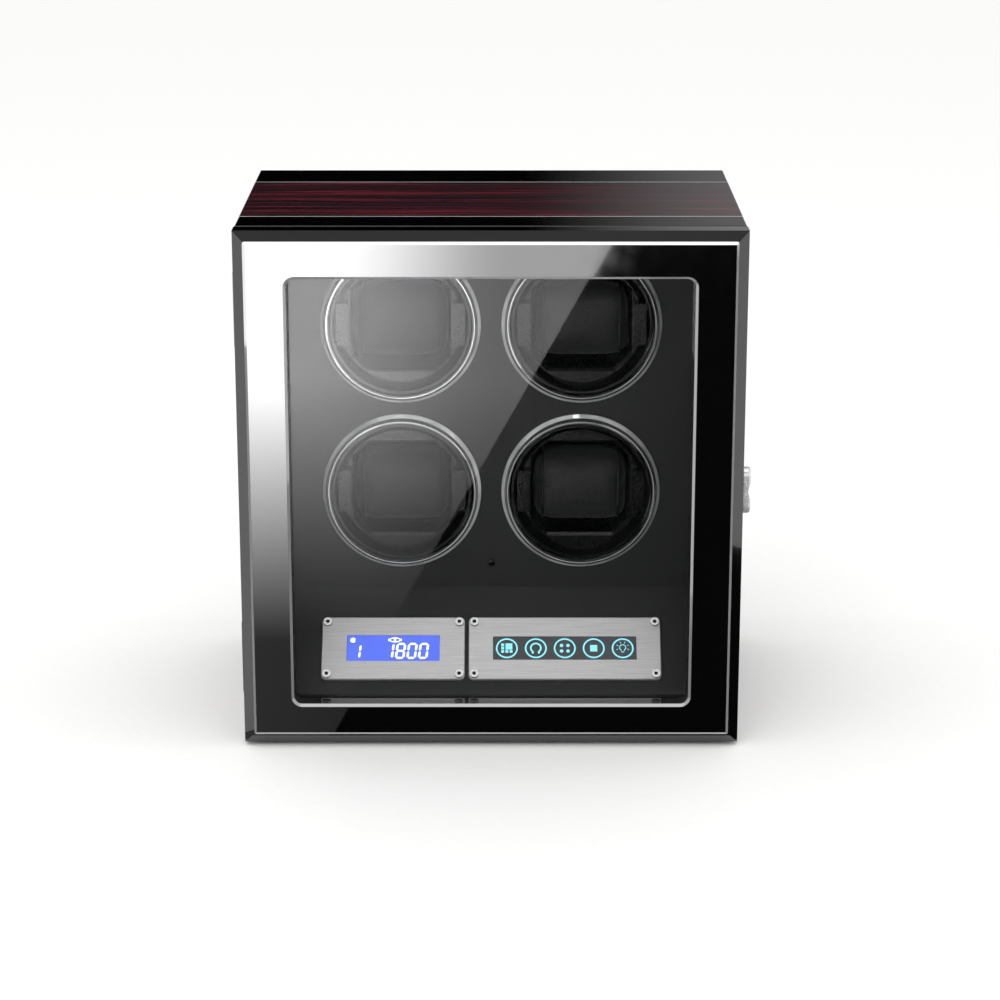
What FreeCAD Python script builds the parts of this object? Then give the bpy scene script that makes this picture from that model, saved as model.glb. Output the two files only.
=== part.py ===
import FreeCAD, Part
import math
import os
import re

import Sketcher

# Watch winder box: a lacquered cabinet with a glazed door, four driven watch cups and a sloped console.
# Millimetres. +X is to the right, +Y to the back and +Z up. The origin is under the middle of the base pad.

# Driving dimensions: name, value, what it is
SIZES = {
    "box_width": (300, "outside width of the cabinet and the door"),
    "box_height": (318, "height from the underside of the base pad to the top"),
    "box_depth": (210, "depth from the door's front to the cabinet's back"),
    "board_thick": (12, "top, bottom and side boards"),
    "edge_ease": (1.2, "rounding of the boards' outer edges"),
    "pad_thick": (1.5, "felt under the bottom board"),
    "pad_inset": (5, "felt edge inside the cabinet's outline"),
    "fit_gap": (0.3, "play around panels that slip in"),
    "screw_play": (0.1, "radial play around a screw"),
    "back_thick": (5, "back panel"),
    "back_recess": (2, "back panel inside the boards' back edges"),
    "batten_width": (12, "square strips inside the side boards"),
    "band_start": (48, "box front to the front metal line"),
    "band_width": (118, "veneer band with both metal lines"),
    "inlay_width": (1.2, "metal line"),
    "veneer_thick": (1.5, "veneer and metal lines"),
    "door_thick": (18, "door"),
    "door_gap": (0.8, "door back to cabinet front"),
    "door_floor": (0.5, "door's underside above the bottom board's underside"),
    "bevel_width": (6, "sloped border of the door"),
    "bevel_drop": (3, "height of the sloped border"),
    "plate_step": (1.6, "polished step round the door's raised plate"),
    "stile_width": (30.75, "door frame at the sides"),
    "top_rail": (28, "door frame at the top"),
    "bottom_rail": (25.7, "door frame at the bottom"),
    "window_corner": (5, "corner radius of the door's window"),
    "window_chamfer": (1.6, "polished chamfer round the window"),
    "glass_setback": (11, "door front to the pane"),
    "glass_thick": (3, "pane"),
    "rebate_width": (6, "seat of the pane round the window"),
    "hinge_inset": (0.6, "hinge axis inside the left face"),
    "hinge_length": (45, "length of a hinge"),
    "hinge_reach": (50, "hinge centre to the door's top and bottom"),
    "knuckle_radius": (2.2, "hinge knuckle"),
    "knuckle_relief": (0.4, "space round a knuckle"),
    "knuckle_split": (0.2, "gap between two knuckles"),
    "pin_radius": (1, "hinge pin"),
    "pin_play": (0.05, "radial play of a pin or shaft"),
    "leaf_thick": (1, "hinge leaf"),
    "leaf_width": (9.5, "hinge leaf from the axis"),
    "leaf_proud": (0.2, "hinge leaf above its mortise"),
    "hinge_screw_radius": (0.9, "shank of a hinge screw"),
    "hinge_screw_head": (1.8, "countersunk head of a hinge screw"),
    "hinge_screw_length": (8, "hinge screw"),
    "hinge_screw_reach": (15, "hinge screw from the hinge's middle"),
    "magnet_radius": (4, "door magnet and its steel disc"),
    "magnet_depth": (6, "length of a door magnet"),
    "strike_thick": (1, "steel disc on the door"),
    "magnet_reach": (40, "magnet centre to the door's top and bottom"),
    "pull_height": (28.4, "door pull"),
    "pull_end_flat": (0.1, "flat left on each side of the middle at the pull's rounded ends"),
    "pull_width": (10, "door pull along the door's edge"),
    "pull_proud": (4.5, "door pull out of the door's edge"),
    "pull_round": (1.6, "rounding of the pull's face"),
    "pull_waist": (1.4, "depth of the hollow across the pull"),
    "pull_waist_radius": (9, "radius of that hollow"),
    "pull_stud": (2, "radius of the pull's stud"),
    "pull_stud_length": (10, "stud in the door's edge"),
    "panel_setback": (75, "box front to the rotor panel"),
    "panel_thick": (5, "rotor panel"),
    "console_rise": (64.8, "crease above the cabinet floor"),
    "console_toe": (10.3, "front edge of the slope above the cabinet floor"),
    "console_run": (54.5, "depth of the slope"),
    "console_thick": (4, "console panel"),
    "plate_height": (42.3, "brushed plates along the slope"),
    "plate_thick": (2, "brushed plates"),
    "plate_corner": (3, "corner radius of the plates"),
    "plate_centre": (33.5, "middle of the plates along the slope from its front edge"),
    "plate_gap": (2.5, "gap between the two plates"),
    "display_plate_width": (88.4, "left plate"),
    "touch_plate_width": (118.7, "right plate"),
    "display_width": (57.5, "display window"),
    "display_height": (17.7, "display window"),
    "touch_width": (88.7, "touch window"),
    "touch_height": (16, "touch window"),
    "window_sink": (0.4, "display and touch face under the plate's face"),
    "plate_ease": (0.4, "chamfer of the plates' edges"),
    "screw_inset": (3.4, "plate screw from the plate's edges"),
    "screw_radius": (1.5, "shank of every screw"),
    "screw_head": (2.7, "radius of a screw head"),
    "screw_head_thick": (1.4, "screw head"),
    "screw_length": (9, "screw shank"),
    "socket_radius": (1.3, "hexagon socket of a screw"),
    "socket_depth": (0.8, "hexagon socket of a screw"),
    "circuit_thick": (1.6, "circuit boards"),
    "circuit_space": (8, "circuit board behind the panel that carries it"),
    "control_width": (190, "front circuit board"),
    "control_height": (44, "front circuit board along the slope"),
    "driver_width": (60, "rear circuit board"),
    "driver_height": (40, "rear circuit board"),
    "driver_low": (22, "rear circuit board above the cabinet floor"),
    "terminal_width": (48, "terminal block on the rear circuit board"),
    "terminal_height": (12, "terminal block on the rear circuit board"),
    "terminal_depth": (16, "terminal block on the rear circuit board"),
    "terminal_top": (2, "terminal block under the board's top edge"),
    "lead_radius": (1.2, "lead of a motor"),
    "lead_bend": (14, "bend of a lead"),
    "lead_back": (6, "lead behind the gearbox"),
    "upper_lead": (9, "upper motors' leads from the middle"),
    "lower_lead": (18, "lower motors' leads from the middle"),
    "standoff_radius": (2.5, "spacers of the circuit boards"),
    "standoff_inset": (5, "spacer from a circuit board's edges"),
    "cup_pitch_x": (110.5, "cup axes, side to side"),
    "cup_pitch_z": (105.5, "cup axes, up and down"),
    "cup_low": (141, "lower cup axes above the ground"),
    "ring_gap": (1, "turning cup to the clear ring"),
    "ring_rim_width": (1.4, "flat front rim of the clear ring"),
    "ring_width": (5, "clear ring on the panel"),
    "ring_spigot_wall": (2.4, "ring's spigot in the panel"),
    "ring_edge": (1.5, "upright edge of the clear ring"),
    "ring_height": (6, "clear ring in front of the panel"),
    "cup_proud": (3, "cup in front of the panel"),
    "cup_wall": (2, "cup's wall beside the funnel's bottom"),
    "cup_lip": (1.5, "cup's front edge outside the funnel"),
    "funnel_flare": (4, "funnel's front wider than its bottom"),
    "step_land": (0.9, "flat ring between pocket bevel and funnel"),
    "funnel_depth": (8, "funnel"),
    "flange_depth": (12, "length of the cup's flange"),
    "pocket_half": (29, "middle to the pocket's flats"),
    "pocket_corner": (8.8, "corner cut off the square pocket"),
    "pocket_depth": (37, "pocket behind the funnel"),
    "pocket_bevel": (1.8, "bevel of the pocket's mouth"),
    "cup_floor": (4, "wall behind the pocket"),
    "clip_land": (2.5, "pocket flat to the inner side of a clip shoulder"),
    "clip_overlap": (1.8, "clip shoulder into the funnel's wall"),
    "clip_half": (13, "half height of a clip shoulder"),
    "clip_rise": (6.5, "clip shoulder above the funnel's bottom"),
    "hub_radius": (9, "hub of the cup"),
    "hub_length": (10, "hub of the cup"),
    "shaft_radius": (2.5, "drive shaft"),
    "shaft_seat": (8, "drive shaft in the hub"),
    "press_gap": (0.02, "radial gap of a pressed fit"),
    "hub_space": (7, "hub to the gearbox nose"),
    "nose_length": (7, "gearbox nose with its bearing"),
    "nose_radius": (7, "gearbox nose"),
    "motor_board_thick": (6, "motor board"),
    "gearbox_radius": (19, "gearbox"),
    "gearbox_length": (16, "gearbox"),
    "motor_radius": (12, "motor can"),
    "motor_length": (24, "motor can"),
    "motor_offset": (5, "motor axis below the shaft"),
    "lug_reach": (23, "gearbox axis to a lug's screw"),
    "lug_radius": (4.5, "gearbox lug"),
    "lug_thick": (3, "gearbox lug"),
    "shaft_in_gearbox": (12, "drive shaft inside nose and gearbox"),
    "pillow_play": (0.5, "pillow to the pocket's flats at each side"),
    "strap_gap": (5.5, "pillow to the pocket above and below, for the strap"),
    "pillow_depth": (41, "pillow, front to back"),
    "pillow_round": (14, "rounding of the pillow's long edges"),
    "pillow_shoulder_share": (0.25, "share of pillow_draw that the pillow's shoulders take"),
    "pillow_draw": (4.5, "ends of the pillow drawn in all round"),
    "pillow_shoulder": (5, "length of the drawn-in ends"),
    "led_width": (220, "light bar"),
    "led_depth": (12, "light bar"),
    "led_height": (7, "light bar"),
    "led_wall": (1.2, "wall of the light bar"),
    "led_setback": (8, "cabinet front to the light bar"),
    "sensor_radius": (2.5, "receiver lens"),
    "sensor_height": (94, "receiver lens above the ground"),
    "sensor_length": (8, "receiver"),
    "sensor_rim": (0.12, "straight edge left behind the lens rounding"),
    "sensor_proud": (1.2, "receiver lens in front of the panel"),
    "jack_radius": (5.5, "power inlet's barrel"),
    "jack_flange": (7.5, "power inlet's flange"),
    "jack_flange_thick": (1.5, "power inlet's flange"),
    "jack_length": (16, "power inlet behind its flange"),
    "jack_bore": (3.2, "socket of the power inlet"),
    "jack_bore_depth": (10, "socket of the power inlet"),
    "jack_pin": (1, "centre pin of the power inlet"),
    "jack_height": (40, "power inlet above the ground"),
    "jack_side": (90, "power inlet to the left of the middle"),
    "back_screw_inset": (20, "back panel screws from the panel's top and bottom"),
}

# Places worked out from the driving dimensions
PLACES = {
    "half_width": "box_width / 2",
    "front": "-box_depth / 2",
    "back": "box_depth / 2",
    "door_back": "front + door_thick",
    "cabinet_front": "door_back + door_gap",
    "inner_half": "half_width - board_thick",
    "floor_top": "pad_thick + board_thick",
    "ceiling": "box_height - board_thick",
    "band_front": "front + band_start",
    "band_back": "band_front + band_width",
    "door_low": "pad_thick + door_floor",
    "window_half": "half_width - stile_width",
    "window_low": "door_low + bottom_rail",
    "window_high": "box_height - top_rail",
    "glass_front": "front + glass_setback",
    "glass_back": "glass_front + glass_thick",
    "bead_width": "rebate_width - fit_gap",
    "hinge_x": "hinge_inset - half_width",
    "hinge_y": "door_back + door_gap / 2",
    "hinge_low": "door_low + hinge_reach",
    "hinge_high": "box_height - hinge_reach",
    "magnet_x": "half_width - board_thick / 2",
    "magnet_low": "door_low + magnet_reach",
    "magnet_high": "box_height - magnet_reach",
    "pull_y": "door_back - (door_thick - bevel_drop - plate_step) / 2",
    "pull_z": "(door_low + box_height) / 2",
    "panel_front": "front + panel_setback",
    "panel_back": "panel_front + panel_thick",
    "crease": "floor_top + console_rise",
    "toe_y": "panel_front - console_run",
    "toe_z": "floor_top + console_toe",
    "slope": "atan((console_rise - console_toe) / console_run)",
    "plates_half": "(display_plate_width + plate_gap + touch_plate_width) / 2",
    "display_x": "display_plate_width / 2 - plates_half",
    "touch_x": "plates_half - touch_plate_width / 2",
    "control_depth": "console_thick + circuit_space",
    "cup_back": "cup_floor + pocket_depth + funnel_depth - cup_proud",
    "hub_back": "cup_back + hub_length",
    "nose_front": "hub_back + hub_space",
    "motor_board_front": "nose_front + nose_length - motor_board_thick",
    "gearbox_front": "nose_front + nose_length",
    "gearbox_back": "gearbox_front + gearbox_length",
    "back_outer": "back - back_recess",
    "back_inner": "back_outer - back_thick",
    "circuit_y": "panel_front + gearbox_front + circuit_space",
    "driver_z": "floor_top + driver_low + driver_height / 2",
    "terminal_z": "floor_top + driver_low + driver_height - terminal_top",
    "lead_y": "panel_front + gearbox_back + lead_back",
    "pocket_facet": "(2 * pocket_half - pocket_corner) / sqrt(2)",
    "cup_step": "pocket_facet + pocket_bevel + step_land",
    "cup_body": "cup_step + cup_wall",
    "cup_mouth": "cup_step + funnel_flare",
    "cup_radius": "cup_mouth + cup_lip",
    "clip_inner": "pocket_half + clip_land",
    "clip_outer": "cup_step + clip_overlap",
    "ring_bore": "cup_radius + ring_gap",
    "ring_rim": "ring_bore + ring_rim_width",
    "ring_spigot": "ring_bore + ring_spigot_wall",
    "ring_radius": "ring_bore + ring_width",
    "hinge_screw_x": "hinge_x + (knuckle_radius + knuckle_relief + leaf_width) / 2",
}

CUPS = {
    "upper_left": ("-cup_pitch_x / 2", "cup_low + cup_pitch_z"),
    "upper_right": ("cup_pitch_x / 2", "cup_low + cup_pitch_z"),
    "lower_left": ("-cup_pitch_x / 2", "cup_low"),
    "lower_right": ("cup_pitch_x / 2", "cup_low"),
}

OVERCUT = "2"
SIDES = ("-1", "1")
X_AXIS = FreeCAD.Vector(1, 0, 0)
Y_AXIS = FreeCAD.Vector(0, 1, 0)
Z_AXIS = FreeCAD.Vector(0, 0, 1)
TO_FRONT = FreeCAD.Rotation(X_AXIS, 90)
TO_RIGHT = FreeCAD.Rotation(Y_AXIS, 90)
UPRIGHT = FreeCAD.Rotation()
ON_SLOPE = FreeCAD.Rotation(X_AXIS, 45)

doc = FreeCAD.newDocument("watch_winder_box")
sheet = doc.addObject("Spreadsheet::Sheet", "Dims")
for row, (alias, (value, meaning)) in enumerate(SIZES.items(), 1):
    sheet.set(f"A{row}", meaning)
    sheet.set(f"B{row}", str(value))
    sheet.setAlias(f"B{row}", alias)
doc.recompute()
finished = {}


def formula(text):
    """A formula in the names above, written as an expression on the sheet's cells."""
    def expand(found):
        word = found.group(0)
        if word in PLACES:
            return "(" + formula(PLACES[word]) + ")"
        return f"Dims.{word}" if word in SIZES else word
    return re.sub(r"[a-z_][a-z_0-9]*", expand, str(text))


def place(obj, x, y, z, turn=UPRIGHT):
    """Puts an object at three formulas, turned by a fixed rotation."""
    obj.Placement = FreeCAD.Placement(FreeCAD.Vector(), turn)
    for axis, text in zip("xyz", (x, y, z)):
        obj.setExpression(f"Placement.Base.{axis}", formula(text))
    return obj


def place_on_slope(obj, x, up, out):
    """Puts an object on the console: x to the right, up along the slope, out of its face."""
    obj.Placement = FreeCAD.Placement(FreeCAD.Vector(), ON_SLOPE)
    obj.setExpression("Placement.Base.x", formula(x))
    obj.setExpression("Placement.Base.y", formula(f"toe_y + ({up}) * cos(slope) - ({out}) * sin(slope)"))
    obj.setExpression("Placement.Base.z", formula(f"toe_z + ({up}) * sin(slope) + ({out}) * cos(slope)"))
    obj.setExpression("Placement.Rotation.Angle", formula("slope"))
    return obj


def block(name, x, y, z):
    """A box between three pairs of formulas."""
    box = doc.addObject("Part::Box", name)
    for size, (low, high) in zip(("Length", "Width", "Height"), (x, y, z)):
        box.setExpression(size, formula(f"({high}) - ({low})"))
    return place(box, x[0], y[0], z[0])


def slope_block(name, x, up, out):
    """A box between three pairs of formulas in the console's own directions."""
    box = doc.addObject("Part::Box", name)
    for size, (low, high) in zip(("Length", "Width", "Height"), (x, up, out)):
        box.setExpression(size, formula(f"({high}) - ({low})"))
    return place_on_slope(box, x[0], up[0], out[0])


def rod(name, radius, length):
    """A cylinder from the origin along its own Z."""
    cylinder = doc.addObject("Part::Cylinder", name)
    cylinder.setExpression("Radius", formula(radius))
    cylinder.setExpression("Height", formula(length))
    return cylinder


def group(kind, name, shapes):
    """A compound (separate solids) or a fusion (one solid) of several objects."""
    joined = doc.addObject(kind, name)
    if kind == "Part::Compound":
        joined.Links = shapes
    else:
        joined.Shapes = shapes
    return joined


def cut(name, base, tools):
    """The base without its tools."""
    result = doc.addObject("Part::Cut", name)
    result.Base = base
    result.Tool = tools[0] if len(tools) == 1 else group("Part::MultiFuse", name + "_tools", tools)
    return result


def common(name, base, tool):
    """What two objects share."""
    result = doc.addObject("Part::Common", name)
    result.Base = base
    result.Tool = tool
    return result


def finish(label, obj):
    """Names a finished sub-part."""
    obj.Label = label
    finished[label] = obj
    return obj


def new_body(name):
    return doc.addObject("PartDesign::Body", name)


def origin_feature(body, role):
    return [item for item in body.Origin.OriginFeatures if item.Role == role][0]


def new_sketch(body, plane, offset):
    sketch = body.newObject("Sketcher::SketchObject", body.Name + "_sketch")
    sketch.AttachmentSupport = [(origin_feature(body, plane), "")]
    sketch.MapMode = "FlatFace"
    if offset:
        sketch.setExpression("AttachmentOffset.Base.z", formula(offset))
    return sketch


def hold_point(sketch, shape, spot, x, y):
    """Holds one point of a sketch at two formulas from the sketch's origin."""
    for kind, axis, text in (("DistanceX", -2, x), ("DistanceY", -1, y)):
        if text == "0":
            sketch.addConstraint(Sketcher.Constraint("PointOnObject", shape, spot, axis))
        else:
            index = sketch.addConstraint(Sketcher.Constraint(kind, -1, 1, shape, spot, 1.0))
            sketch.setExpression(f"Constraints[{index}]", formula(text))


def outline(body, plane, loops, offset=None):
    """A sketch of closed polygons. Each corner is a pair of formulas."""
    sketch = new_sketch(body, plane, offset)
    for corners in loops:
        count = len(corners)
        first = len(sketch.Geometry)
        turn = 2 * math.pi / count
        spots = [FreeCAD.Vector(math.cos(turn * i), math.sin(turn * i), 0) for i in range(count)]
        for i in range(count):
            sketch.addGeometry(Part.LineSegment(spots[i], spots[(i + 1) % count]), False)
        for i, (x, y) in enumerate(corners):
            sketch.addConstraint(Sketcher.Constraint("Coincident", first + i, 2, first + (i + 1) % count, 1))
            hold_point(sketch, first + i, 1, x, y)
    return sketch


def rectangle(x0, x1, y0, y1):
    return [(x0, y0), (x1, y0), (x1, y1), (x0, y1)]


def circles(body, plane, rounds, offset=None):
    """A sketch of circles, each given by its centre and radius."""
    sketch = new_sketch(body, plane, offset)
    for x, y, radius in rounds:
        shape = sketch.addGeometry(Part.Circle(FreeCAD.Vector(), FreeCAD.Vector(0, 0, 1), 1), False)
        hold_point(sketch, shape, 3, x, y)
        index = sketch.addConstraint(Sketcher.Constraint("Radius", shape, 1.0))
        sketch.setExpression(f"Constraints[{index}]", formula(radius))
    return sketch


def extrude(kind, body, sketch, length, both=False, flip=False):
    """A pad or a pocket from a sketch. Both makes it run to both sides of the sketch."""
    feature = body.newObject("PartDesign::" + kind, body.Name + "_" + kind.lower())
    feature.Profile = sketch
    feature.SideType = "Symmetric" if both else "One side"
    feature.Reversed = flip
    feature.setExpression("Length", formula(length))
    return feature


def turned(body, corners):
    """A revolution about the body's Z axis of a profile of (radius, height) corners."""
    feature = body.newObject("PartDesign::Revolution", body.Name + "_turned")
    feature.Profile = outline(body, "XZ_Plane", [corners])
    feature.ReferenceAxis = (origin_feature(body, "Z_Axis"), [""])
    feature.Angle = 360
    return feature


def dress(kind, body, feature, size, wanted):
    """A fillet or chamfer on the edges of a feature that pass a test."""
    doc.recompute()
    names = [f"Edge{i}" for i, edge in enumerate(feature.Shape.Edges, 1) if wanted(edge)]
    dressed = body.newObject("PartDesign::" + kind, body.Name + "_" + kind.lower())
    dressed.Base = (feature, names)
    dressed.setExpression("Radius" if kind == "Fillet" else "Size", formula(size))
    return dressed


def along(axis):
    """Tests whether an edge is straight and runs along one axis."""
    others = [name for name in "XYZ" if name != axis]
    return lambda edge: all(getattr(edge.BoundBox, name + "Length") < 1e-6 for name in others)


def at_height(z):
    """Tests whether an edge lies wholly at one height of its body."""
    return lambda edge: abs(edge.BoundBox.ZMin - z) < 1e-6 and abs(edge.BoundBox.ZMax - z) < 1e-6


def size(name):
    return float(sheet.get(name))


def rounded_frame(body, x, y, z):
    """A PartDesign block whose upright and upper edges are eased."""
    base = extrude("Pad", body, outline(body, "XY_Plane", [rectangle(*x, *y)], z[0]), f"({z[1]}) - ({z[0]})")
    doc.recompute()
    low = base.Shape.BoundBox.ZMin
    dress("Fillet", body, base, "edge_ease", lambda edge: not at_height(low)(edge))
    return body


# Cabinet boards, cut from one eased block so that they line up

carcass = rounded_frame(new_body("carcass"), ("-half_width", "half_width"), ("cabinet_front", "back"),
                        ("pad_thick", "box_height"))
FULL_X = ("-half_width", "half_width")
FULL_Y = ("cabinet_front", "back")
FULL_Z = ("pad_thick", "box_height")
BAND_Y = ("band_front", "band_back")
LEFT_SKIN = ("-half_width", "veneer_thick - half_width")
RIGHT_SKIN = ("half_width - veneer_thick", "half_width")
TOP_SKIN = ("box_height - veneer_thick", "box_height")
SIDE_BAND_Z = ("pad_thick", "box_height - veneer_thick")

band_seats = [
    block("band_seat_top", FULL_X, BAND_Y, TOP_SKIN),
    block("band_seat_left", LEFT_SKIN, BAND_Y, FULL_Z),
    block("band_seat_right", RIGHT_SKIN, BAND_Y, FULL_Z),
]
lacquered = cut("lacquered", carcass, band_seats)
finish("top_board", common("top", lacquered, block("top_space", FULL_X, FULL_Y, ("ceiling", "box_height"))))
finish("bottom_board",
       common("bottom", lacquered, block("bottom_space", FULL_X, FULL_Y, ("pad_thick", "floor_top"))))
left_plain = common("left_plain", lacquered,
                    block("left_space", ("-half_width", "-inner_half"), FULL_Y, ("floor_top", "ceiling")))
right_plain = common("right_plain", lacquered,
                     block("right_space", ("inner_half", "half_width"), FULL_Y, ("floor_top", "ceiling")))

# Veneer bands between thin metal lines, over the top and down both sides

VENEER_Y = ("band_front + inlay_width", "band_back - inlay_width")
SKINS = {"top": (FULL_X, TOP_SKIN), "left": (LEFT_SKIN, SIDE_BAND_Z), "right": (RIGHT_SKIN, SIDE_BAND_Z)}
lines = []
for side, (skin_x, skin_z) in SKINS.items():
    finish(f"veneer_band_{side}",
           common(f"veneer_{side}", carcass, block(f"veneer_space_{side}", skin_x, VENEER_Y, skin_z)))
    for line_y in (("band_front", "band_front + inlay_width"), ("band_back - inlay_width", "band_back")):
        lines.append(common(f"line_{side}", carcass, block(f"line_space_{side}", skin_x, line_y, skin_z)))
finish("inlay_lines", group("Part::Compound", "lines", lines))

finish("base_pad", block("felt", ("pad_inset - half_width", "half_width - pad_inset"),
                         ("cabinet_front + pad_inset", "back - pad_inset"), ("0", "pad_thick")))

# Battens glued to the side boards

batten_places = ("panel_back", "panel_front + gearbox_front", "back_inner - batten_width")
battens = []
for y in batten_places:
    for low in ("-inner_half", "inner_half - batten_width"):
        battens.append(block("batten", (low, f"{low} + batten_width"), (y, f"{y} + batten_width"),
                             ("floor_top", "ceiling")))

# Back panel with its screws and the power inlet

SCREW_ROWS = ("floor_top + back_screw_inset", "(floor_top + ceiling) / 2", "ceiling - back_screw_inset")
back_screw_spots = [(f"{side} * (inner_half - batten_width / 2)", row) for side in SIDES for row in SCREW_ROWS]


def screw(name):
    """A pan-head screw with a hexagon socket. Its head sits on z = 0 and its shank points down."""
    shank = place(rod(name + "_shank", "screw_radius", "screw_length"), "0", "0", "-screw_length")
    head = rod(name + "_head", "screw_head", "screw_head_thick")
    socket = doc.addObject("Part::Prism", name + "_socket")
    socket.Polygon = 6
    socket.setExpression("Circumradius", formula("socket_radius"))
    socket.setExpression("Height", formula(f"socket_depth + {OVERCUT}"))
    place(socket, "0", "0", "screw_head_thick - socket_depth")
    return cut(name, group("Part::MultiFuse", name + "_blank", [head, shank]), [socket])


def holes(name, spots, radius, y, turn=TO_FRONT):
    """Drilled holes along Y that end at y and run the given way."""
    return [place(rod(name, radius, "screw_length + " + OVERCUT), x, y, z, turn) for x, z in spots]


TO_BACK = FreeCAD.Rotation(X_AXIS, -90)
back_screws = [place(screw("back_screw"), x, "back_outer", z, TO_BACK) for x, z in back_screw_spots]
finish("back_panel_screws", group("Part::Compound", "back_screws", back_screws))
back_holes = holes("back_hole", back_screw_spots, "screw_radius + screw_play", f"back_outer + {OVERCUT} / 2")
finish("panel_battens", cut("battens", group("Part::Compound", "batten_set", battens), back_holes))
jack_hole = place(rod("jack_hole", "jack_radius + fit_gap", "jack_length"), "-jack_side", f"back + {OVERCUT}",
                  "jack_height", TO_FRONT)
back_plain = block("back_plain", ("fit_gap - inner_half", "inner_half - fit_gap"), ("back_inner", "back_outer"),
                   ("floor_top + fit_gap", "ceiling - fit_gap"))
finish("back_panel", cut("back_drilled", back_plain, back_holes + [jack_hole]))

jack_parts = [rod("jack_flange_disc", "jack_flange", "jack_flange_thick"),
              place(rod("jack_barrel", "jack_radius", "jack_length"), "0", "0", "-jack_length")]
jack_socket = place(rod("jack_socket", "jack_bore", f"jack_bore_depth + {OVERCUT}"), "0", "0",
                    "jack_flange_thick - jack_bore_depth")
jack_shell = cut("jack_shell", group("Part::MultiFuse", "jack_blank", jack_parts), [jack_socket])
jack_centre = place(rod("jack_centre", "jack_pin", "jack_bore_depth - jack_flange_thick"), "0", "0",
                    "jack_flange_thick - jack_bore_depth")
dc_jack = group("Part::MultiFuse", "jack", [jack_shell, jack_centre])
finish("dc_jack", place(dc_jack, "-jack_side", "back_outer", "jack_height", TO_BACK))

# Rotor panel and motor board, each a body on the XZ plane, which it leaves towards +Y

PANEL_X = ("fit_gap - inner_half", "inner_half - fit_gap")
PANEL_Z = ("floor_top", "ceiling - fit_gap")
cup_spots = list(CUPS.values())

rotor_panel = new_body("rotor_panel_body")
extrude("Pad", rotor_panel, outline(rotor_panel, "XZ_Plane", [rectangle(*PANEL_X, *PANEL_Z)]), "panel_thick",
        flip=True)
panel_rounds = [(x, z, "ring_spigot + fit_gap") for x, z in cup_spots]
panel_rounds.append(("0", "sensor_height", "sensor_radius + screw_play"))
extrude("Pocket", rotor_panel, circles(rotor_panel, "XZ_Plane", panel_rounds), "4 * panel_thick", both=True)
finish("rotor_panel", place(rotor_panel, "0", "panel_front", "0"))

motor_screw_spots = [(f"{x} + {side} * lug_reach", z) for x, z in cup_spots for side in SIDES]
motor_board = new_body("motor_board_body")
extrude("Pad", motor_board, outline(motor_board, "XZ_Plane", [rectangle(*PANEL_X, *PANEL_Z)]),
        "motor_board_thick", flip=True)
board_rounds = [(x, z, "nose_radius + fit_gap") for x, z in cup_spots]
board_rounds += [(x, z, "screw_radius + screw_play") for x, z in motor_screw_spots]
extrude("Pocket", motor_board, circles(motor_board, "XZ_Plane", board_rounds), "4 * motor_board_thick", both=True)
finish("motor_board", place(motor_board, "0", "panel_front + motor_board_front", "0"))

# Receiver lens between the lower cups

sensor = new_body("sensor")
sensor_rod = extrude("Pad", sensor, circles(sensor, "XY_Plane", [("0", "0", "sensor_radius")]), "sensor_length")
dress("Fillet", sensor, sensor_rod, "sensor_proud - sensor_rim", at_height(size("sensor_length")))
finish("ir_receiver", place(sensor, "0", "panel_front + sensor_length - sensor_proud", "sensor_height", TO_FRONT))

# Console: a bent panel with openings for the display and the touch keys

console = new_body("console_body")
console_profile = [
    ("panel_front", "crease"),
    ("toe_y", "toe_z"),
    ("toe_y", "floor_top"),
    ("toe_y + console_thick", "floor_top"),
    ("toe_y + console_thick", "toe_z + console_thick * tan(slope) - console_thick / cos(slope)"),
    ("panel_front", "crease - console_thick / cos(slope)"),
]
extrude("Pad", console, outline(console, "YZ_Plane", [console_profile]), "2 * (inner_half - fit_gap)", both=True)

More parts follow.
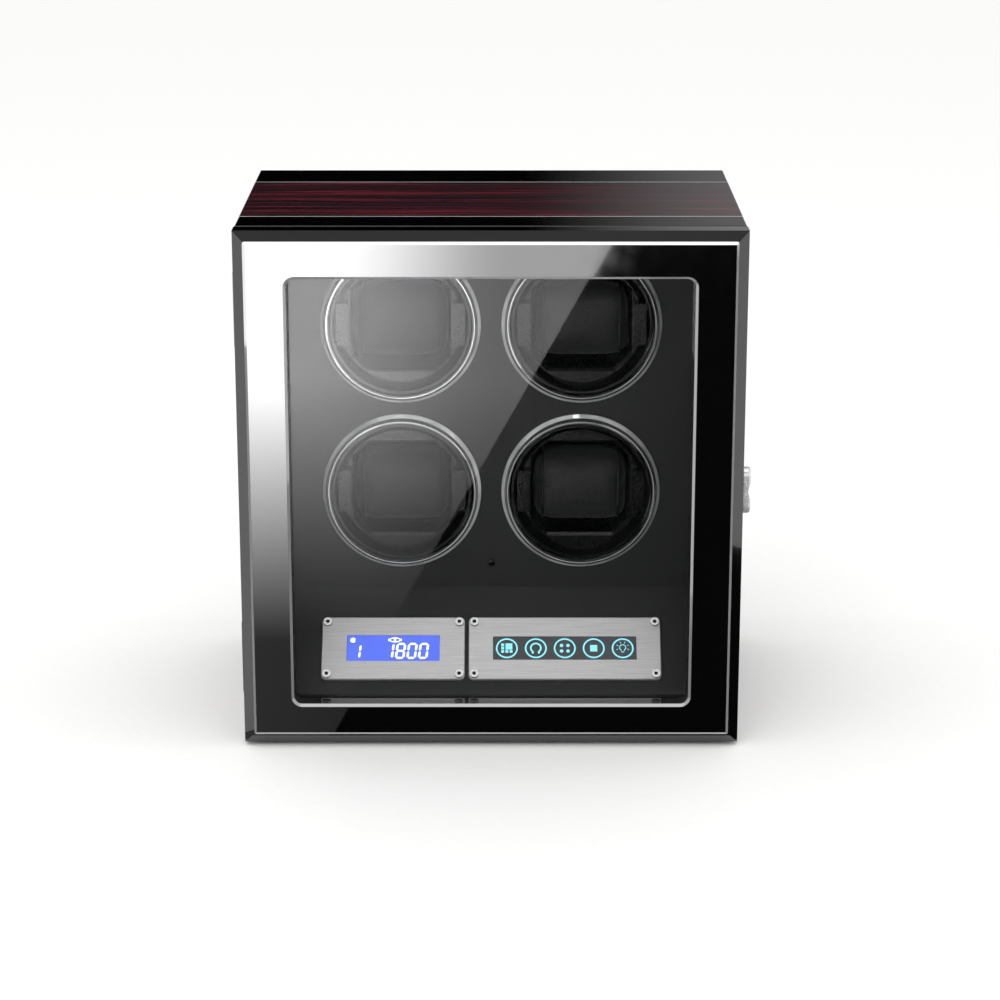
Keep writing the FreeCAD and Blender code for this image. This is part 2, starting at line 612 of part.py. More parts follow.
WINDOWS = {
    "display": ("display_x", "display_plate_width", "display_width", "display_height"),
    "touch": ("touch_x", "touch_plate_width", "touch_width", "touch_height"),
}
CONTROL_UP = ("plate_centre - control_height / 2", "plate_centre + control_height / 2")
console_tools = []
plate_screws = []
for name, (centre, plate_width, window_width, window_height) in WINDOWS.items():
    console_tools.append(slope_block(
        name + "_opening", (f"{centre} - {window_width} / 2", f"{centre} + {window_width} / 2"),
        (f"plate_centre - {window_height} / 2", f"plate_centre + {window_height} / 2"),
        ("-2 * console_thick", "console_thick")))
    corner_x = f"({plate_width} / 2 - screw_inset)"
    corner_y = "(plate_height / 2 - screw_inset)"
    corners = [(f"{a} * {corner_x}", f"{b} * {corner_y}") for a in SIDES for b in SIDES]

    plate = new_body(name + "_plate_body")
    plate_pad = extrude("Pad", plate, outline(plate, "XY_Plane", [rectangle(
        f"-{plate_width} / 2", f"{plate_width} / 2", "-plate_height / 2", "plate_height / 2")]), "plate_thick")
    plate_round = dress("Fillet", plate, plate_pad, "plate_corner", along("Z"))
    dress("Chamfer", plate, plate_round, "plate_ease", at_height(size("plate_thick")))
    extrude("Pocket", plate, outline(plate, "XY_Plane", [rectangle(
        f"-{window_width} / 2", f"{window_width} / 2", f"-{window_height} / 2", f"{window_height} / 2")]),
        "4 * plate_thick", both=True)
    extrude("Pocket", plate, circles(plate, "XY_Plane", [
        (x, y, "screw_radius + screw_play") for x, y in corners]), "4 * plate_thick", both=True)
    finish(f"{name}_plate", place_on_slope(plate, centre, "plate_centre", "0"))

    inset_x = f"({window_width} / 2 - fit_gap)"
    inset_y = f"({window_height} / 2 - fit_gap)"
    module = slope_block(name + "_module_block", (f"{centre} - {inset_x}", f"{centre} + {inset_x}"),
                         (f"plate_centre - {inset_y}", f"plate_centre + {inset_y}"),
                         ("-control_depth", "plate_thick - window_sink"))
    finish("display_module" if name == "display" else "touch_panel", module)

    for x, y in corners:
        spot = (f"{centre} + {x}", f"plate_centre + {y}")
        plate_screws.append(place_on_slope(screw(name + "_screw"), *spot, "plate_thick"))
        console_tools.append(place_on_slope(
            rod(name + "_screw_hole", "screw_radius + screw_play", "4 * console_thick"), *spot,
            "-3 * console_thick"))
finish("console_panel", cut("console", console, console_tools))
finish("plate_screws", group("Part::Compound", "plate_screw_set", plate_screws))

# Circuit boards on spacers

control = slope_block("control", ("-control_width / 2", "control_width / 2"), CONTROL_UP,
                      ("-control_depth - circuit_thick", "-control_depth"))
finish("control_board", control)
driver = block("driver", ("-driver_width / 2", "driver_width / 2"), ("circuit_y", "circuit_y + circuit_thick"),
               ("driver_z - driver_height / 2", "driver_z + driver_height / 2"))
terminal = block("terminal", ("-terminal_width / 2", "terminal_width / 2"),
                 ("circuit_y + circuit_thick", "circuit_y + circuit_thick + terminal_depth"),
                 ("terminal_z - terminal_height", "terminal_z"))
finish("driver_board", group("Part::MultiFuse", "driver_set", [driver, terminal]))
standoffs = []
for a in SIDES:
    for b in SIDES:
        standoffs.append(place_on_slope(
            rod("slope_standoff", "standoff_radius", "circuit_space"),
            f"{a} * (control_width / 2 - standoff_inset)",
            f"plate_centre + {b} * (control_height / 2 - standoff_inset)", "-control_depth"))
        standoffs.append(place(rod("driver_standoff", "standoff_radius", "circuit_space"),
                               f"{a} * (driver_width / 2 - standoff_inset)", "circuit_y",
                               f"driver_z + {b} * (driver_height / 2 - standoff_inset)", TO_FRONT))
finish("board_standoffs", group("Part::Compound", "standoffs", standoffs))

# Light bar at the ceiling, open downwards, with its diffuser

LED_Y = ("cabinet_front + led_setback", "cabinet_front + led_setback + led_depth")
LED_INNER_Y = ("cabinet_front + led_setback + led_wall", "cabinet_front + led_setback + led_depth - led_wall")
LED_X = ("-led_width / 2", "led_width / 2")
channel = block("channel", LED_X, LED_Y, ("ceiling - led_height", "ceiling"))
channel_space = block("channel_space", LED_X, LED_INNER_Y, ("ceiling - led_height", "ceiling - led_wall"))
finish("led_channel", cut("led_profile", channel, [channel_space]))
finish("led_diffuser", block("diffuser", LED_X, LED_INNER_Y,
                             ("ceiling - led_height", "ceiling - led_height + 2 * led_wall")))

# Cups: rings, turning cups with shafts, gearmotors, pillows. Local Z points to the front, from the panel's face.


def clear_ring(name):
    ring = new_body(name)
    turned(ring, [("ring_bore", "-panel_thick"), ("ring_spigot", "-panel_thick"), ("ring_spigot", "0"),
                  ("ring_radius", "0"), ("ring_radius", "ring_edge"), ("ring_rim", "ring_height"),
                  ("ring_bore", "ring_height")])
    return ring


def rotor_cup(name):
    """A turned cup with a funnel, an eight-sided pocket, two clip shoulders and a bored hub."""
    cup = new_body(name)
    step = "(cup_proud - funnel_depth)"
    turned(cup, [("0", "-hub_back"), ("hub_radius", "-hub_back"), ("hub_radius", "-cup_back"),
                 ("cup_body", "-cup_back"), ("cup_body", "cup_proud - flange_depth"),
                 ("cup_radius", "cup_proud - flange_depth"), ("cup_radius", "cup_proud"),
                 ("cup_mouth", "cup_proud"), ("cup_step", step), ("0", step)])
    facet = "(pocket_facet * sqrt(2) - pocket_half)"
    corners = []
    for a, b, flat_first in (("1", "1", True), ("-1", "1", False), ("-1", "-1", True), ("1", "-1", False)):
        pair = [(f"{a} * pocket_half", f"{b} * {facet}"), (f"{a} * {facet}", f"{b} * pocket_half")]
        corners += pair if flat_first else pair[::-1]
    pocket = extrude("Pocket", cup, outline(cup, "XY_Plane", [corners], step), "pocket_depth")
    mouth = size("cup_proud") - size("funnel_depth")
    dress("Chamfer", cup, pocket, "pocket_bevel",
          lambda edge: at_height(mouth)(edge) and isinstance(edge.Curve, Part.Line))
    shoulders = [rectangle("clip_inner", "clip_outer", "-clip_half", "clip_half"),
                 rectangle("-clip_outer", "-clip_inner", "-clip_half", "clip_half")]
    extrude("Pad", cup, outline(cup, "XY_Plane", shoulders, step), "clip_rise")
    extrude("Pocket", cup, circles(cup, "XY_Plane", [("0", "0", "shaft_radius + press_gap")], "-hub_back"),
            "shaft_seat", flip=True)
    return cup


def gearmotor(name):
    """A round gearbox with a nose, two lugs and a motor can. The shaft's bore runs into the gearbox."""
    nose = place(rod(name + "_nose", "nose_radius", "nose_length"), "0", "0", "-gearbox_front")
    gearbox = place(rod(name + "_gearbox", "gearbox_radius", "gearbox_length"), "0", "0", "-gearbox_back")
    motor = place(rod(name + "_can", "motor_radius", "motor_length"), "0", "-motor_offset",
                  "-gearbox_back - motor_length")
    pieces = [nose, gearbox, motor]
    tools = [place(rod(name + "_bore", "shaft_radius + pin_play", f"shaft_in_gearbox + fit_gap + {OVERCUT}"),
                   "0", "0", "-nose_front - shaft_in_gearbox - fit_gap")]
    for side in SIDES:
        pieces.append(place(rod(name + "_lug", "lug_radius", "lug_thick"), f"{side} * lug_reach", "0",
                            "-gearbox_front - lug_thick"))
        tools.append(place(rod(name + "_lug_hole", "screw_radius + screw_play", "3 * lug_thick"),
                           f"{side} * lug_reach", "0", "-gearbox_front - 2 * lug_thick"))
    return cut(name, group("Part::MultiFuse", name + "_blank", pieces), tools)


def pillow_section(across, drawn):
    """A rounded rectangle across the pillow, drawn in all round, of four lines and four quarter arcs."""
    half_up = size("pocket_half") - size("strap_gap") - drawn
    half_out = size("pillow_depth") / 2 - drawn
    radius = size("pillow_round") - drawn
    bend = radius * (1 - math.sqrt(0.5))
    edges = []
    for a, b in ((1, 1), (-1, 1), (-1, -1), (1, -1)):
        def spot(up, out, a=a, b=b):
            return FreeCAD.Vector(across, a * up, b * out)
        side = spot(half_up, half_out - radius)
        middle = spot(half_up - bend, half_out - bend)
        face = spot(half_up - radius, half_out)
        ends = (side, face) if a * b > 0 else (face, side)
        edges.append(Part.Arc(ends[0], middle, ends[1]).toShape())
    runs = []
    for here, following in zip(edges, edges[1:] + edges[:1]):
        start = here.Vertexes[-1].Point
        end = following.Vertexes[0].Point
        runs += [here, Part.makeLine(start, end)]
    return Part.Wire(runs)


def pillow_shape():
    """A crowned cushion: a loft through sections that draw in towards both ends."""
    half = size("pocket_half") - size("pillow_play")
    shoulder = half - size("pillow_shoulder")
    draw = size("pillow_draw")
    near = draw * size("pillow_shoulder_share")
    stations = ((-half, draw), (-shoulder, near), (0, 0), (shoulder, near), (half, draw))
    return Part.makeLoft([pillow_section(across, drawn) for across, drawn in stations], True, False)


PILLOW_REST = "fit_gap + pillow_depth / 2 + cup_proud - funnel_depth - pocket_depth"
motor_screws = []
for corner, (cup_x, cup_z) in CUPS.items():
    spot = (cup_x, "panel_front", cup_z, TO_FRONT)
    finish(f"clear_ring_{corner}", place(clear_ring(f"ring_{corner}"), *spot))
    finish(f"rotor_cup_{corner}", place(rotor_cup(f"cup_{corner}"), *spot))
    shaft = rod(f"shaft_{corner}", "shaft_radius", "shaft_seat + hub_space + shaft_in_gearbox - fit_gap")
    finish(f"rotor_shaft_{corner}",
           place(shaft, cup_x, "panel_front + nose_front + shaft_in_gearbox", cup_z, TO_FRONT))
    finish(f"gearmotor_{corner}", place(gearmotor(f"drive_{corner}"), *spot))
    pillow = doc.addObject("Part::Feature", f"cushion_{corner}")
    pillow.Shape = pillow_shape()
    finish(f"pillow_{corner}", place(pillow, cup_x, f"panel_front - ({PILLOW_REST})", cup_z, TO_FRONT))
for x, z in motor_screw_spots:
    motor_screws.append(place(screw("motor_screw"), x, "panel_front + gearbox_front + lug_thick", z, TO_BACK))
finish("motor_screws", group("Part::Compound", "motor_screw_set", motor_screws))

# Motor leads: from the side of each motor towards the middle, then down to the terminal block

LEAD_TURNS = {
    "-1": FreeCAD.Rotation(X_AXIS, Z_AXIS, -Y_AXIS, "XYZ"),
    "1": FreeCAD.Rotation(-X_AXIS, Z_AXIS, Y_AXIS, "XYZ"),
}


def motor_lead(name, side, inner, height):
    """A level run, a quarter bend and an upright run, fused to one tube."""
    level_length = f"cup_pitch_x / 2 - motor_radius - {inner} - lead_bend"
    level_start = f"{inner} + lead_bend" if side == "1" else "motor_radius - cup_pitch_x / 2"
    level = place(rod(name + "_level", "lead_radius", level_length), level_start, "lead_y", height, TO_RIGHT)
    bend = doc.addObject("Part::Torus", name + "_bend")
    bend.setExpression("Radius1", formula("lead_bend"))
    bend.setExpression("Radius2", formula("lead_radius"))
    bend.Angle3 = 90
    place(bend, f"{side} * ({inner} + lead_bend)", "lead_y", f"{height} - lead_bend", LEAD_TURNS[side])
    upright = place(rod(name + "_upright", "lead_radius", f"{height} - lead_bend - terminal_z"),
                    f"{side} * {inner}", "lead_y", "terminal_z")
    return group("Part::MultiFuse", name, [level, bend, upright])


leads = []
for side in SIDES:
    leads.append(motor_lead("upper_lead_tube", side, "upper_lead", "(cup_low + cup_pitch_z - motor_offset)"))
    leads.append(motor_lead("lower_lead_tube", side, "lower_lead", "(cup_low - motor_offset)"))
finish("motor_leads", group("Part::Compound", "lead_set", leads))

# Door frame: a pad from the door's back, a sloped border, a polished step and the raised plate


def door_outline(body, inset, offset=None):
    return outline(body, "XZ_Plane", [rectangle(f"{inset} - half_width", f"half_width - {inset}",
                                                f"door_low + {inset}", f"box_height - {inset}")], offset)


door = new_body("door_body")
SLAB = "(door_thick - bevel_drop - plate_step)"
LEVELS = (("0", SLAB), ("bevel_width", "(door_thick - plate_step)"), ("(bevel_width + plate_step)", "door_thick"))
slab = extrude("Pad", door, door_outline(door, "0"), SLAB)
dress("Fillet", door, slab, "edge_ease",
      lambda edge: abs(edge.BoundBox.YMax) < 1e-6 and edge.BoundBox.YLength < 1e-6)
for low, high in zip(LEVELS, LEVELS[1:]):
    loft = door.newObject("PartDesign::AdditiveLoft", "door_border")
    loft.Profile = door_outline(door, *low)
    loft.Sections = [door_outline(door, *high)]
    loft.Ruled = True
window = outline(door, "XZ_Plane", [rectangle("-window_half", "window_half", "window_low", "window_high")])
opening = extrude("Pocket", door, window, "4 * door_thick", both=True)
limit = (size("box_width") - size("stile_width")) / 2
corners_round = dress("Fillet", door, opening, "window_corner",
                      lambda edge: along("Y")(edge) and abs(edge.BoundBox.XMin) < limit)
front_face = -size("door_thick")
dress("Chamfer", door, corners_round, "window_chamfer",
      lambda edge: edge.BoundBox.YMax < front_face + 1e-6 and abs(edge.CenterOfMass.x) < limit
      and edge.BoundBox.ZMin > size("pad_thick") + size("bottom_rail") / 2
      and edge.BoundBox.ZMax < size("box_height") - size("top_rail") / 2)
seat = outline(door, "XZ_Plane", [rectangle("-window_half - rebate_width", "window_half + rebate_width",
                                            "window_low - rebate_width", "window_high + rebate_width")])
extrude("Pocket", door, seat, "door_thick - glass_setback", flip=True)
place(door, "0", "door_back", "0")

# Hinges, magnets and pull, and the seats that they need in door and side boards

HINGES = ("hinge_low", "hinge_high")
MAGNETS = ("magnet_low", "magnet_high")
KNUCKLES = 5
LEAF_Z = ("{0} - hinge_length / 2", "{0} + hinge_length / 2")
PLATE_X = ("hinge_x + knuckle_radius + knuckle_relief", "hinge_x + leaf_width")
DOOR_LEAF_Y = ("door_back + leaf_proud - leaf_thick", "door_back + leaf_proud")
CABINET_LEAF_Y = ("cabinet_front - leaf_proud", "cabinet_front - leaf_proud + leaf_thick")


def hinge_leaf(name, centre, leaf_y, first, sinks):
    """A leaf with every second knuckle round the hinge axis and countersunk holes."""
    low, high = (text.format(centre) for text in LEAF_Z)
    pieces = [block(name + "_plate", PLATE_X, leaf_y, (low, high))]
    step = f"hinge_length / {KNUCKLES}"
    for index in range(first, KNUCKLES, 2):
        start = f"{low} + {index} * {step} + knuckle_split / 2"
        end = f"{low} + {index + 1} * {step} - knuckle_split / 2"
        pieces.append(place(rod(name + "_knuckle", "knuckle_radius", f"{step} - knuckle_split"),
                            "hinge_x", "hinge_y", start))
        pieces.append(block(name + "_tongue", ("hinge_x", PLATE_X[0]), leaf_y, (start, end)))
    bore = place(rod(name + "_bore", "pin_radius + pin_play", f"hinge_length + 2 * {OVERCUT}"), "hinge_x",
                 "hinge_y", f"{low} - {OVERCUT}")
    return cut(name, group("Part::MultiFuse", name + "_blank", pieces), [bore] + sinks)


def hinge_screw(name, play="0"):
    """A countersunk screw, or its hole with some play. Its head's face is at z = 0 and its shank points down."""
    sink = doc.addObject("Part::Cone", name + "_sink")
    sink.setExpression("Radius1", formula(f"hinge_screw_radius + {play}"))
    sink.setExpression("Radius2", formula(f"hinge_screw_head + {play}"))
    sink.setExpression("Height", formula("leaf_thick"))
    place(sink, "0", "0", "-leaf_thick")
    shank = place(rod(name + "_thin", f"hinge_screw_radius + {play}", f"hinge_screw_length + {play}"), "0", "0",
                  f"-hinge_screw_length - {play}")
    return group("Part::MultiFuse", name, [sink, shank])


def hinge_seat(name, centre, leaf_y, play):
    """Space for the knuckles and the mortise of a leaf."""
    low, high = (text.format(centre) for text in LEAF_Z)
    round_space = place(rod(name + "_round", "knuckle_radius + knuckle_relief", f"hinge_length + 2 * {play}"),
                        "hinge_x", "hinge_y", f"{low} - {play}")
    mortise = block(name + "_mortise", ("hinge_x", f"hinge_x + leaf_width + {play}"), leaf_y,
                    (f"{low} - {play}", f"{high} + {play}"))
    return [round_space, mortise]


door_leaves = []
cabinet_leaves = []
pins = []
door_tools = []
left_tools = []
door_hinge_screws = []
cabinet_hinge_screws = []
for centre in HINGES:
    door_sinks = []
    cabinet_sinks = []
    for side in SIDES:
        z = f"{centre} + {side} * hinge_screw_reach"
        door_spot = ("hinge_screw_x", DOOR_LEAF_Y[1], z, TO_BACK)
        cabinet_spot = ("hinge_screw_x", CABINET_LEAF_Y[0], z, TO_FRONT)
        door_hinge_screws.append(place(hinge_screw("door_hinge_screw"), *door_spot))
        cabinet_hinge_screws.append(place(hinge_screw("cabinet_hinge_screw"), *cabinet_spot))
        door_sinks.append(place(hinge_screw("door_sink", "pin_play"), *door_spot))
        cabinet_sinks.append(place(hinge_screw("cabinet_sink", "pin_play"), *cabinet_spot))
    door_leaves.append(hinge_leaf("door_leaf", centre, DOOR_LEAF_Y, 1, door_sinks))
    cabinet_leaves.append(hinge_leaf("cabinet_leaf", centre, CABINET_LEAF_Y, 0, cabinet_sinks))
    door_tools += door_sinks
    left_tools += cabinet_sinks
    pins.append(place(rod("pin", "pin_radius", "hinge_length"), "hinge_x", "hinge_y",
                      f"{centre} - hinge_length / 2"))
    door_tools += hinge_seat("door_seat", centre, (DOOR_LEAF_Y[0], "hinge_y"), "knuckle_split")
    left_tools += hinge_seat("left_seat", centre, ("hinge_y", CABINET_LEAF_Y[1]), "knuckle_split")
finish("hinge_door_leaves", group("Part::Compound", "door_leaf_pair", door_leaves))
finish("hinge_cabinet_leaves", group("Part::Compound", "cabinet_leaf_pair", cabinet_leaves))
finish("hinge_pins", group("Part::Compound", "pin_pair", pins))
finish("hinge_screws_door", group("Part::Compound", "door_hinge_screw_set", door_hinge_screws))
finish("hinge_screws_cabinet", group("Part::Compound", "cabinet_hinge_screw_set", cabinet_hinge_screws))
finish("left_side_board", cut("left", left_plain, left_tools))

magnets = []
strikes = []
right_tools = []
for centre in MAGNETS:
    magnets.append(place(rod("magnet", "magnet_radius", "magnet_depth"), "magnet_x", "cabinet_front - leaf_proud",
                         centre, TO_BACK))
    right_tools.append(place(rod("magnet_hole", "magnet_radius + screw_play", "magnet_depth + leaf_proud"),
                             "magnet_x", "cabinet_front - 2 * leaf_proud", centre, TO_BACK))
    strikes.append(place(rod("strike", "magnet_radius", "strike_thick"), "magnet_x", "door_back + leaf_proud",
                         centre, TO_FRONT))
    door_tools.append(place(rod("strike_hole", "magnet_radius + screw_play", "strike_thick + leaf_proud"),
                            "magnet_x", "door_back + 2 * leaf_proud", centre, TO_FRONT))
finish("door_magnets", group("Part::Compound", "magnet_pair", magnets))
finish("strike_plates", group("Part::Compound", "strike_pair", strikes))
finish("right_side_board", cut("right", right_plain, right_tools))

pull = new_body("pull_body")
pull_pad = extrude("Pad", pull, outline(pull, "XY_Plane", [rectangle(
    "-pull_height / 2", "pull_height / 2", "-pull_width / 2", "pull_width / 2")]), "pull_proud")
pull_ends = dress("Fillet", pull, pull_pad, "pull_width / 2 - pull_end_flat", along("Z"))
dress("Fillet", pull, pull_ends, "pull_round", at_height(size("pull_proud")))
waist = place(rod("waist", "pull_waist_radius", f"pull_width + 2 * {OVERCUT}"), "0", f"-pull_width / 2 - {OVERCUT}",
              "pull_proud - pull_waist + pull_waist_radius", TO_BACK)
stud = place(rod("stud", "pull_stud", "pull_stud_length"), "0", "0", "-pull_stud_length")
pull_whole = group("Part::MultiFuse", "pull_whole", [cut("pull_waisted", pull, [waist]), stud])
finish("door_pull", place(pull_whole, "half_width", "pull_y", "pull_z", TO_RIGHT))
door_tools.append(place(rod("stud_hole", "pull_stud + screw_play", "pull_stud_length + fit_gap + " + OVERCUT),
                        "half_width - pull_stud_length - fit_gap", "pull_y", "pull_z", TO_RIGHT))
finish("door_frame", cut("door", door, door_tools))

# Pane and the four beads that hold it

PANE_X = ("-window_half - bead_width", "window_half + bead_width")
PANE_Z = ("window_low - bead_width", "window_high + bead_width")
finish("door_glass", block("pane", PANE_X, ("glass_front", "glass_back"), PANE_Z))
BEAD_Y = ("glass_back", "door_back")
beads = [
    block("bead_low", PANE_X, BEAD_Y, (PANE_Z[0], "window_low")),
    block("bead_high", PANE_X, BEAD_Y, ("window_high", PANE_Z[1])),
    block("bead_left", (PANE_X[0], "-window_half"), BEAD_Y, ("window_low", "window_high")),
    block("bead_right", ("window_half", PANE_X[1]), BEAD_Y, ("window_low", "window_high")),
]
finish("glass_beads", group("Part::Compound", "beads", beads))

doc.recompute()
faults = [item.Name for item in doc.Objects if "Invalid" in item.State or "Error" in item.State]
for label, item in finished.items():
    if item.Shape.isNull() or not item.Shape.isValid() or not item.Shape.Solids:
        faults.append(label)
if faults:
    raise RuntimeError("these failed: " + ", ".join(faults))
os.makedirs("parts", exist_ok=True)
for label, item in finished.items():
    item.Shape.exportStep(f"parts/{label}.step")
print(len(finished), "sub-parts written")
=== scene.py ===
import math

import bmesh
import bpy
import numpy as np
from bpy.props import FloatProperty, FloatVectorProperty, IntProperty, PointerProperty, StringProperty
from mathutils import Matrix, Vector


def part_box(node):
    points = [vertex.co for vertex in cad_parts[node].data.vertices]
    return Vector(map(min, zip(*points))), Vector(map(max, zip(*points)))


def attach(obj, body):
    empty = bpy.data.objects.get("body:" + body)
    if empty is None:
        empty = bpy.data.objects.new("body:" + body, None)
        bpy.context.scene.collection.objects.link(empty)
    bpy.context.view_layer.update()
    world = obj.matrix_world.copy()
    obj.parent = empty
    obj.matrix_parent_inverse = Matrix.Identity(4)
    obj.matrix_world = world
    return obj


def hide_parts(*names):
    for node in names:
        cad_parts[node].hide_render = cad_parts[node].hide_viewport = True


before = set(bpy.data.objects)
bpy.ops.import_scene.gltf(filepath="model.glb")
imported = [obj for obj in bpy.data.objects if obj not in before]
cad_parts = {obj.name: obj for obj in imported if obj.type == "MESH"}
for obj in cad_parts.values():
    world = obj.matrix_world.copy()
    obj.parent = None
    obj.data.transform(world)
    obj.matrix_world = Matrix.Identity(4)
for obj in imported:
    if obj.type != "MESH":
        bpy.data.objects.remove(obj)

bl_info = {
    "name": "Watch winder box",
    "version": (1, 0, 0),
    "blender": (4, 5, 0),
    "location": "View3D > Sidebar > Winder",
    "description": "Finishes, pillows, display and touch keys of a lacquered watch winder box",
    "category": "Object",
}

MM = 0.001
CUPS = ("upper_left", "upper_right", "lower_left", "lower_right")
SLOPE = math.radians(45)
SLOPE_UP = np.array((0.0, math.cos(SLOPE), math.sin(SLOPE)))
SLOPE_OUT = np.array((0.0, -math.sin(SLOPE), math.cos(SLOPE)))
ACROSS = np.array((1.0, 0.0, 0.0))
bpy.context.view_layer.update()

VECTOR = "ShaderNodeVectorMath"
MATH = "ShaderNodeMath"
MAP = "ShaderNodeMapRange"
NOISE = "ShaderNodeTexNoise"
RAMP = "ShaderNodeValToRGB"
BLACK = (0, 0, 0, 1)
WHITE = (1, 1, 1, 1)
# Where most of a noise's values lie
NOISE_SPAN = (0.3, 0.7)
# The door: its raised step, the reach of the painted highlight line on it, how metallic that painted
# highlight is, the share of it on the window's chamfer, and the window
STEP_INSET = 6.0 * MM
STEP_WIDTH = 1.6 * MM
HIGHLIGHT_REACH = (0.05 * MM, 1.55 * MM)
HIGHLIGHT_METALLIC = 0.7
RIM_HIGHLIGHT_SHARE = 0.4
WINDOW_HALF = (119.25 * MM, 131.15 * MM)
WINDOW_MIDDLE = 158.85 * MM
WINDOW_CORNER = 5.0 * MM
# The veneer: how far its lines wander, over what lengths, and how far apart and long they are
VENEER_SWAY = 26 * MM
SWAY_ALONG = 142.86 * MM
SWAY_ACROSS = 83.33 * MM
FIGURE_GAP = 12.82 * MM
FIGURE_LENGTH = 909.1 * MM
# Leatherette: width and depth of its cells, how far they are bent over what length, the share of a cell that
# is its edge, the share of the colour left there by painted shade in the grooves, and the roughness there
# and on top
CELL_WIDE, CELL_DEEP = 1.3 * MM, 0.12 * MM
CELL_BENT, BEND_LENGTH = 0.9 * MM, 3 * MM
CELL_EDGE, GROOVE_SHADE, CELL_ROUGH = 0.16, 0.45, (0.7, 0.42)
# Painted highlight on the turned edges of a clear ring: radius and half width of its pale bands, outside
# and inside, and the patches of metallic glint in them: size, the values of the noise that are used, and
# how metallic they make the edge
RING_EDGE = (48.4 * MM, 1.3 * MM)
RING_LIP = (45.2 * MM, 0.3 * MM)
RING_HIGHLIGHT_PATCH = 30 * MM
RING_SPAN = (0.38, 0.6)
RING_HIGHLIGHT_METALLIC = (0.05, 0.45)
# Depths below a console screw's head: the socket's floor, and where its shade begins
SOCKET_FLOOR = 0.75 * MM
SOCKET_SHADE = 0.45 * MM
# Points closer than this are one, and no length is taken as less than the second
WELD, TINY = 1e-6, 1e-9
# Least cosine at a stroke's corner, which keeps its mitre short
MITRE_LEAST = 0.4
# Digits and signs start this far below the face that carries them
SUNK = 0.02 * MM
# Digits in shares of their height: width, half a bar, gap between bars, pitch, and their lean
DIGIT_WIDE, BAR_HALF, BAR_GAP, DIGIT_PITCH, LEAN = 0.48, 0.075, 0.02, 0.74, 0.11


def linear(code):
    """Linear red, green, blue and a full alpha from an sRGB hex value."""
    parts = [int(code[i:i + 2], 16) / 255 for i in (1, 3, 5)]
    return [c / 12.92 if c <= 0.04045 else ((c + 0.055) / 1.055) ** 2.4 for c in parts] + [1.0]


def colour(name, description, code):
    """A colour property that starts at a hex value."""
    return FloatVectorProperty(name=name, description=description, subtype="COLOR", size=4,
                               min=0.0, max=1.0, default=linear(code))


def length(name, description, value):
    """A length property in metres that starts at a value in millimetres."""
    return FloatProperty(name=name, description=description, default=value * MM, unit="LENGTH",
                         subtype="DISTANCE")


class WinderSizes(bpy.types.PropertyGroup):
    """Sizes of the pieces that are added to the frame."""
    voxel: length("Pillow voxel", "Mesh size of the pillow before it is inflated", 1.7)
    swell: length("Pillow swell", "Furthest that a point of the pillow moves when inflated", 3.0)
    piping: length("Piping radius", "Radius of the piping round the pillow's ends", 0.8)
    piping_place: length("Piping place", "Piping from the pillow's middle", 23.5)
    digit_height: length("Digit height", "Large digits of the display", 9.6)
    key_pitch: length("Key pitch", "Middle to middle of the touch keys", 17.9)
    key_radius: length("Key radius", "Ring round a touch key's sign", 6.3)
    ink: length("Ink thickness", "Height of digits and key signs above the face", 0.12)
    pressure: FloatProperty(name="Pressure", description="Air pressure that inflates the pillow", default=4.0)
    steps: IntProperty(name="Steps", description="Frames of the inflation", default=20)


class WinderColours(bpy.types.PropertyGroup):
    """Colours of the finishes."""
    lacquer: colour("Lacquer", "Polished black lacquer", "#060607")
    veneer_dark: colour("Veneer ground", "Dark ground of the veneer", "#1C0B15")
    veneer_red: colour("Veneer stripe", "Red stripes of the veneer", "#761826")
    panel: colour("Panel", "Matt black panels inside", "#262627")
    plate: colour("Plate", "Brushed aluminium plates", "#EDEDEE")
    display: colour("Display", "Lit display", "#5876FF")
    digit: colour("Digits", "Digits of the display", "#F4F7FF")
    key: colour("Keys", "Lit signs of the touch keys", "#4FD6EC")
    touch: colour("Touch face", "Smoked face of the touch keys", "#4C4E53")
    pillow: colour("Pillow", "Leatherette of the pillows", "#28282A")


class WinderSettings(bpy.types.PropertyGroup):
    """Everything that the panel shows."""
    sizes: PointerProperty(type=WinderSizes)
    colours: PointerProperty(type=WinderColours)
    digits_small: StringProperty(name="Programme", description="Small digit of the display", default="1")
    digits_large: StringProperty(name="Turns", description="Large digits of the display", default="1800")


def sizes():
    """The chosen sizes."""
    return bpy.context.scene.winder.sizes


def colours():
    """The chosen colours."""
    return bpy.context.scene.winder.colours


# Materials


def add(tree, kind, sockets=None, stops=None, **settings):
    """Adds one node with its settings, colour stops and sockets, each a value or the socket that feeds it."""
    node = tree.nodes.new(kind)
    for key, value in settings.items():
        setattr(node, key, value)
    for key, value in (sockets or {}).items():
        if isinstance(value, bpy.types.NodeSocket):
            tree.links.new(value, node.inputs[key])
        else:
            node.inputs[key].default_value = value
    if stops:
        ramp = node.color_ramp
        while len(ramp.elements) < len(stops):
            ramp.elements.new(1.0)
        for element, (place, value) in zip(ramp.elements, stops):
            element.position = place
            element.color = value
    return node


def surface(name, **constants):
    """A new material with one Principled shader; returns it, its tree, the shader and object coordinates."""
    material = bpy.data.materials.new(name)
    material.use_nodes = True
    tree = material.node_tree
    tree.nodes.clear()
    shader = add(tree, "ShaderNodeBsdfPrincipled", {k.replace("_", " "): v for k, v in constants.items()})
    add(tree, "ShaderNodeOutputMaterial", {"Surface": shader.outputs[0]})
    place = add(tree, "ShaderNodeTexCoord").outputs["Object"]
    return material, tree, shader, place


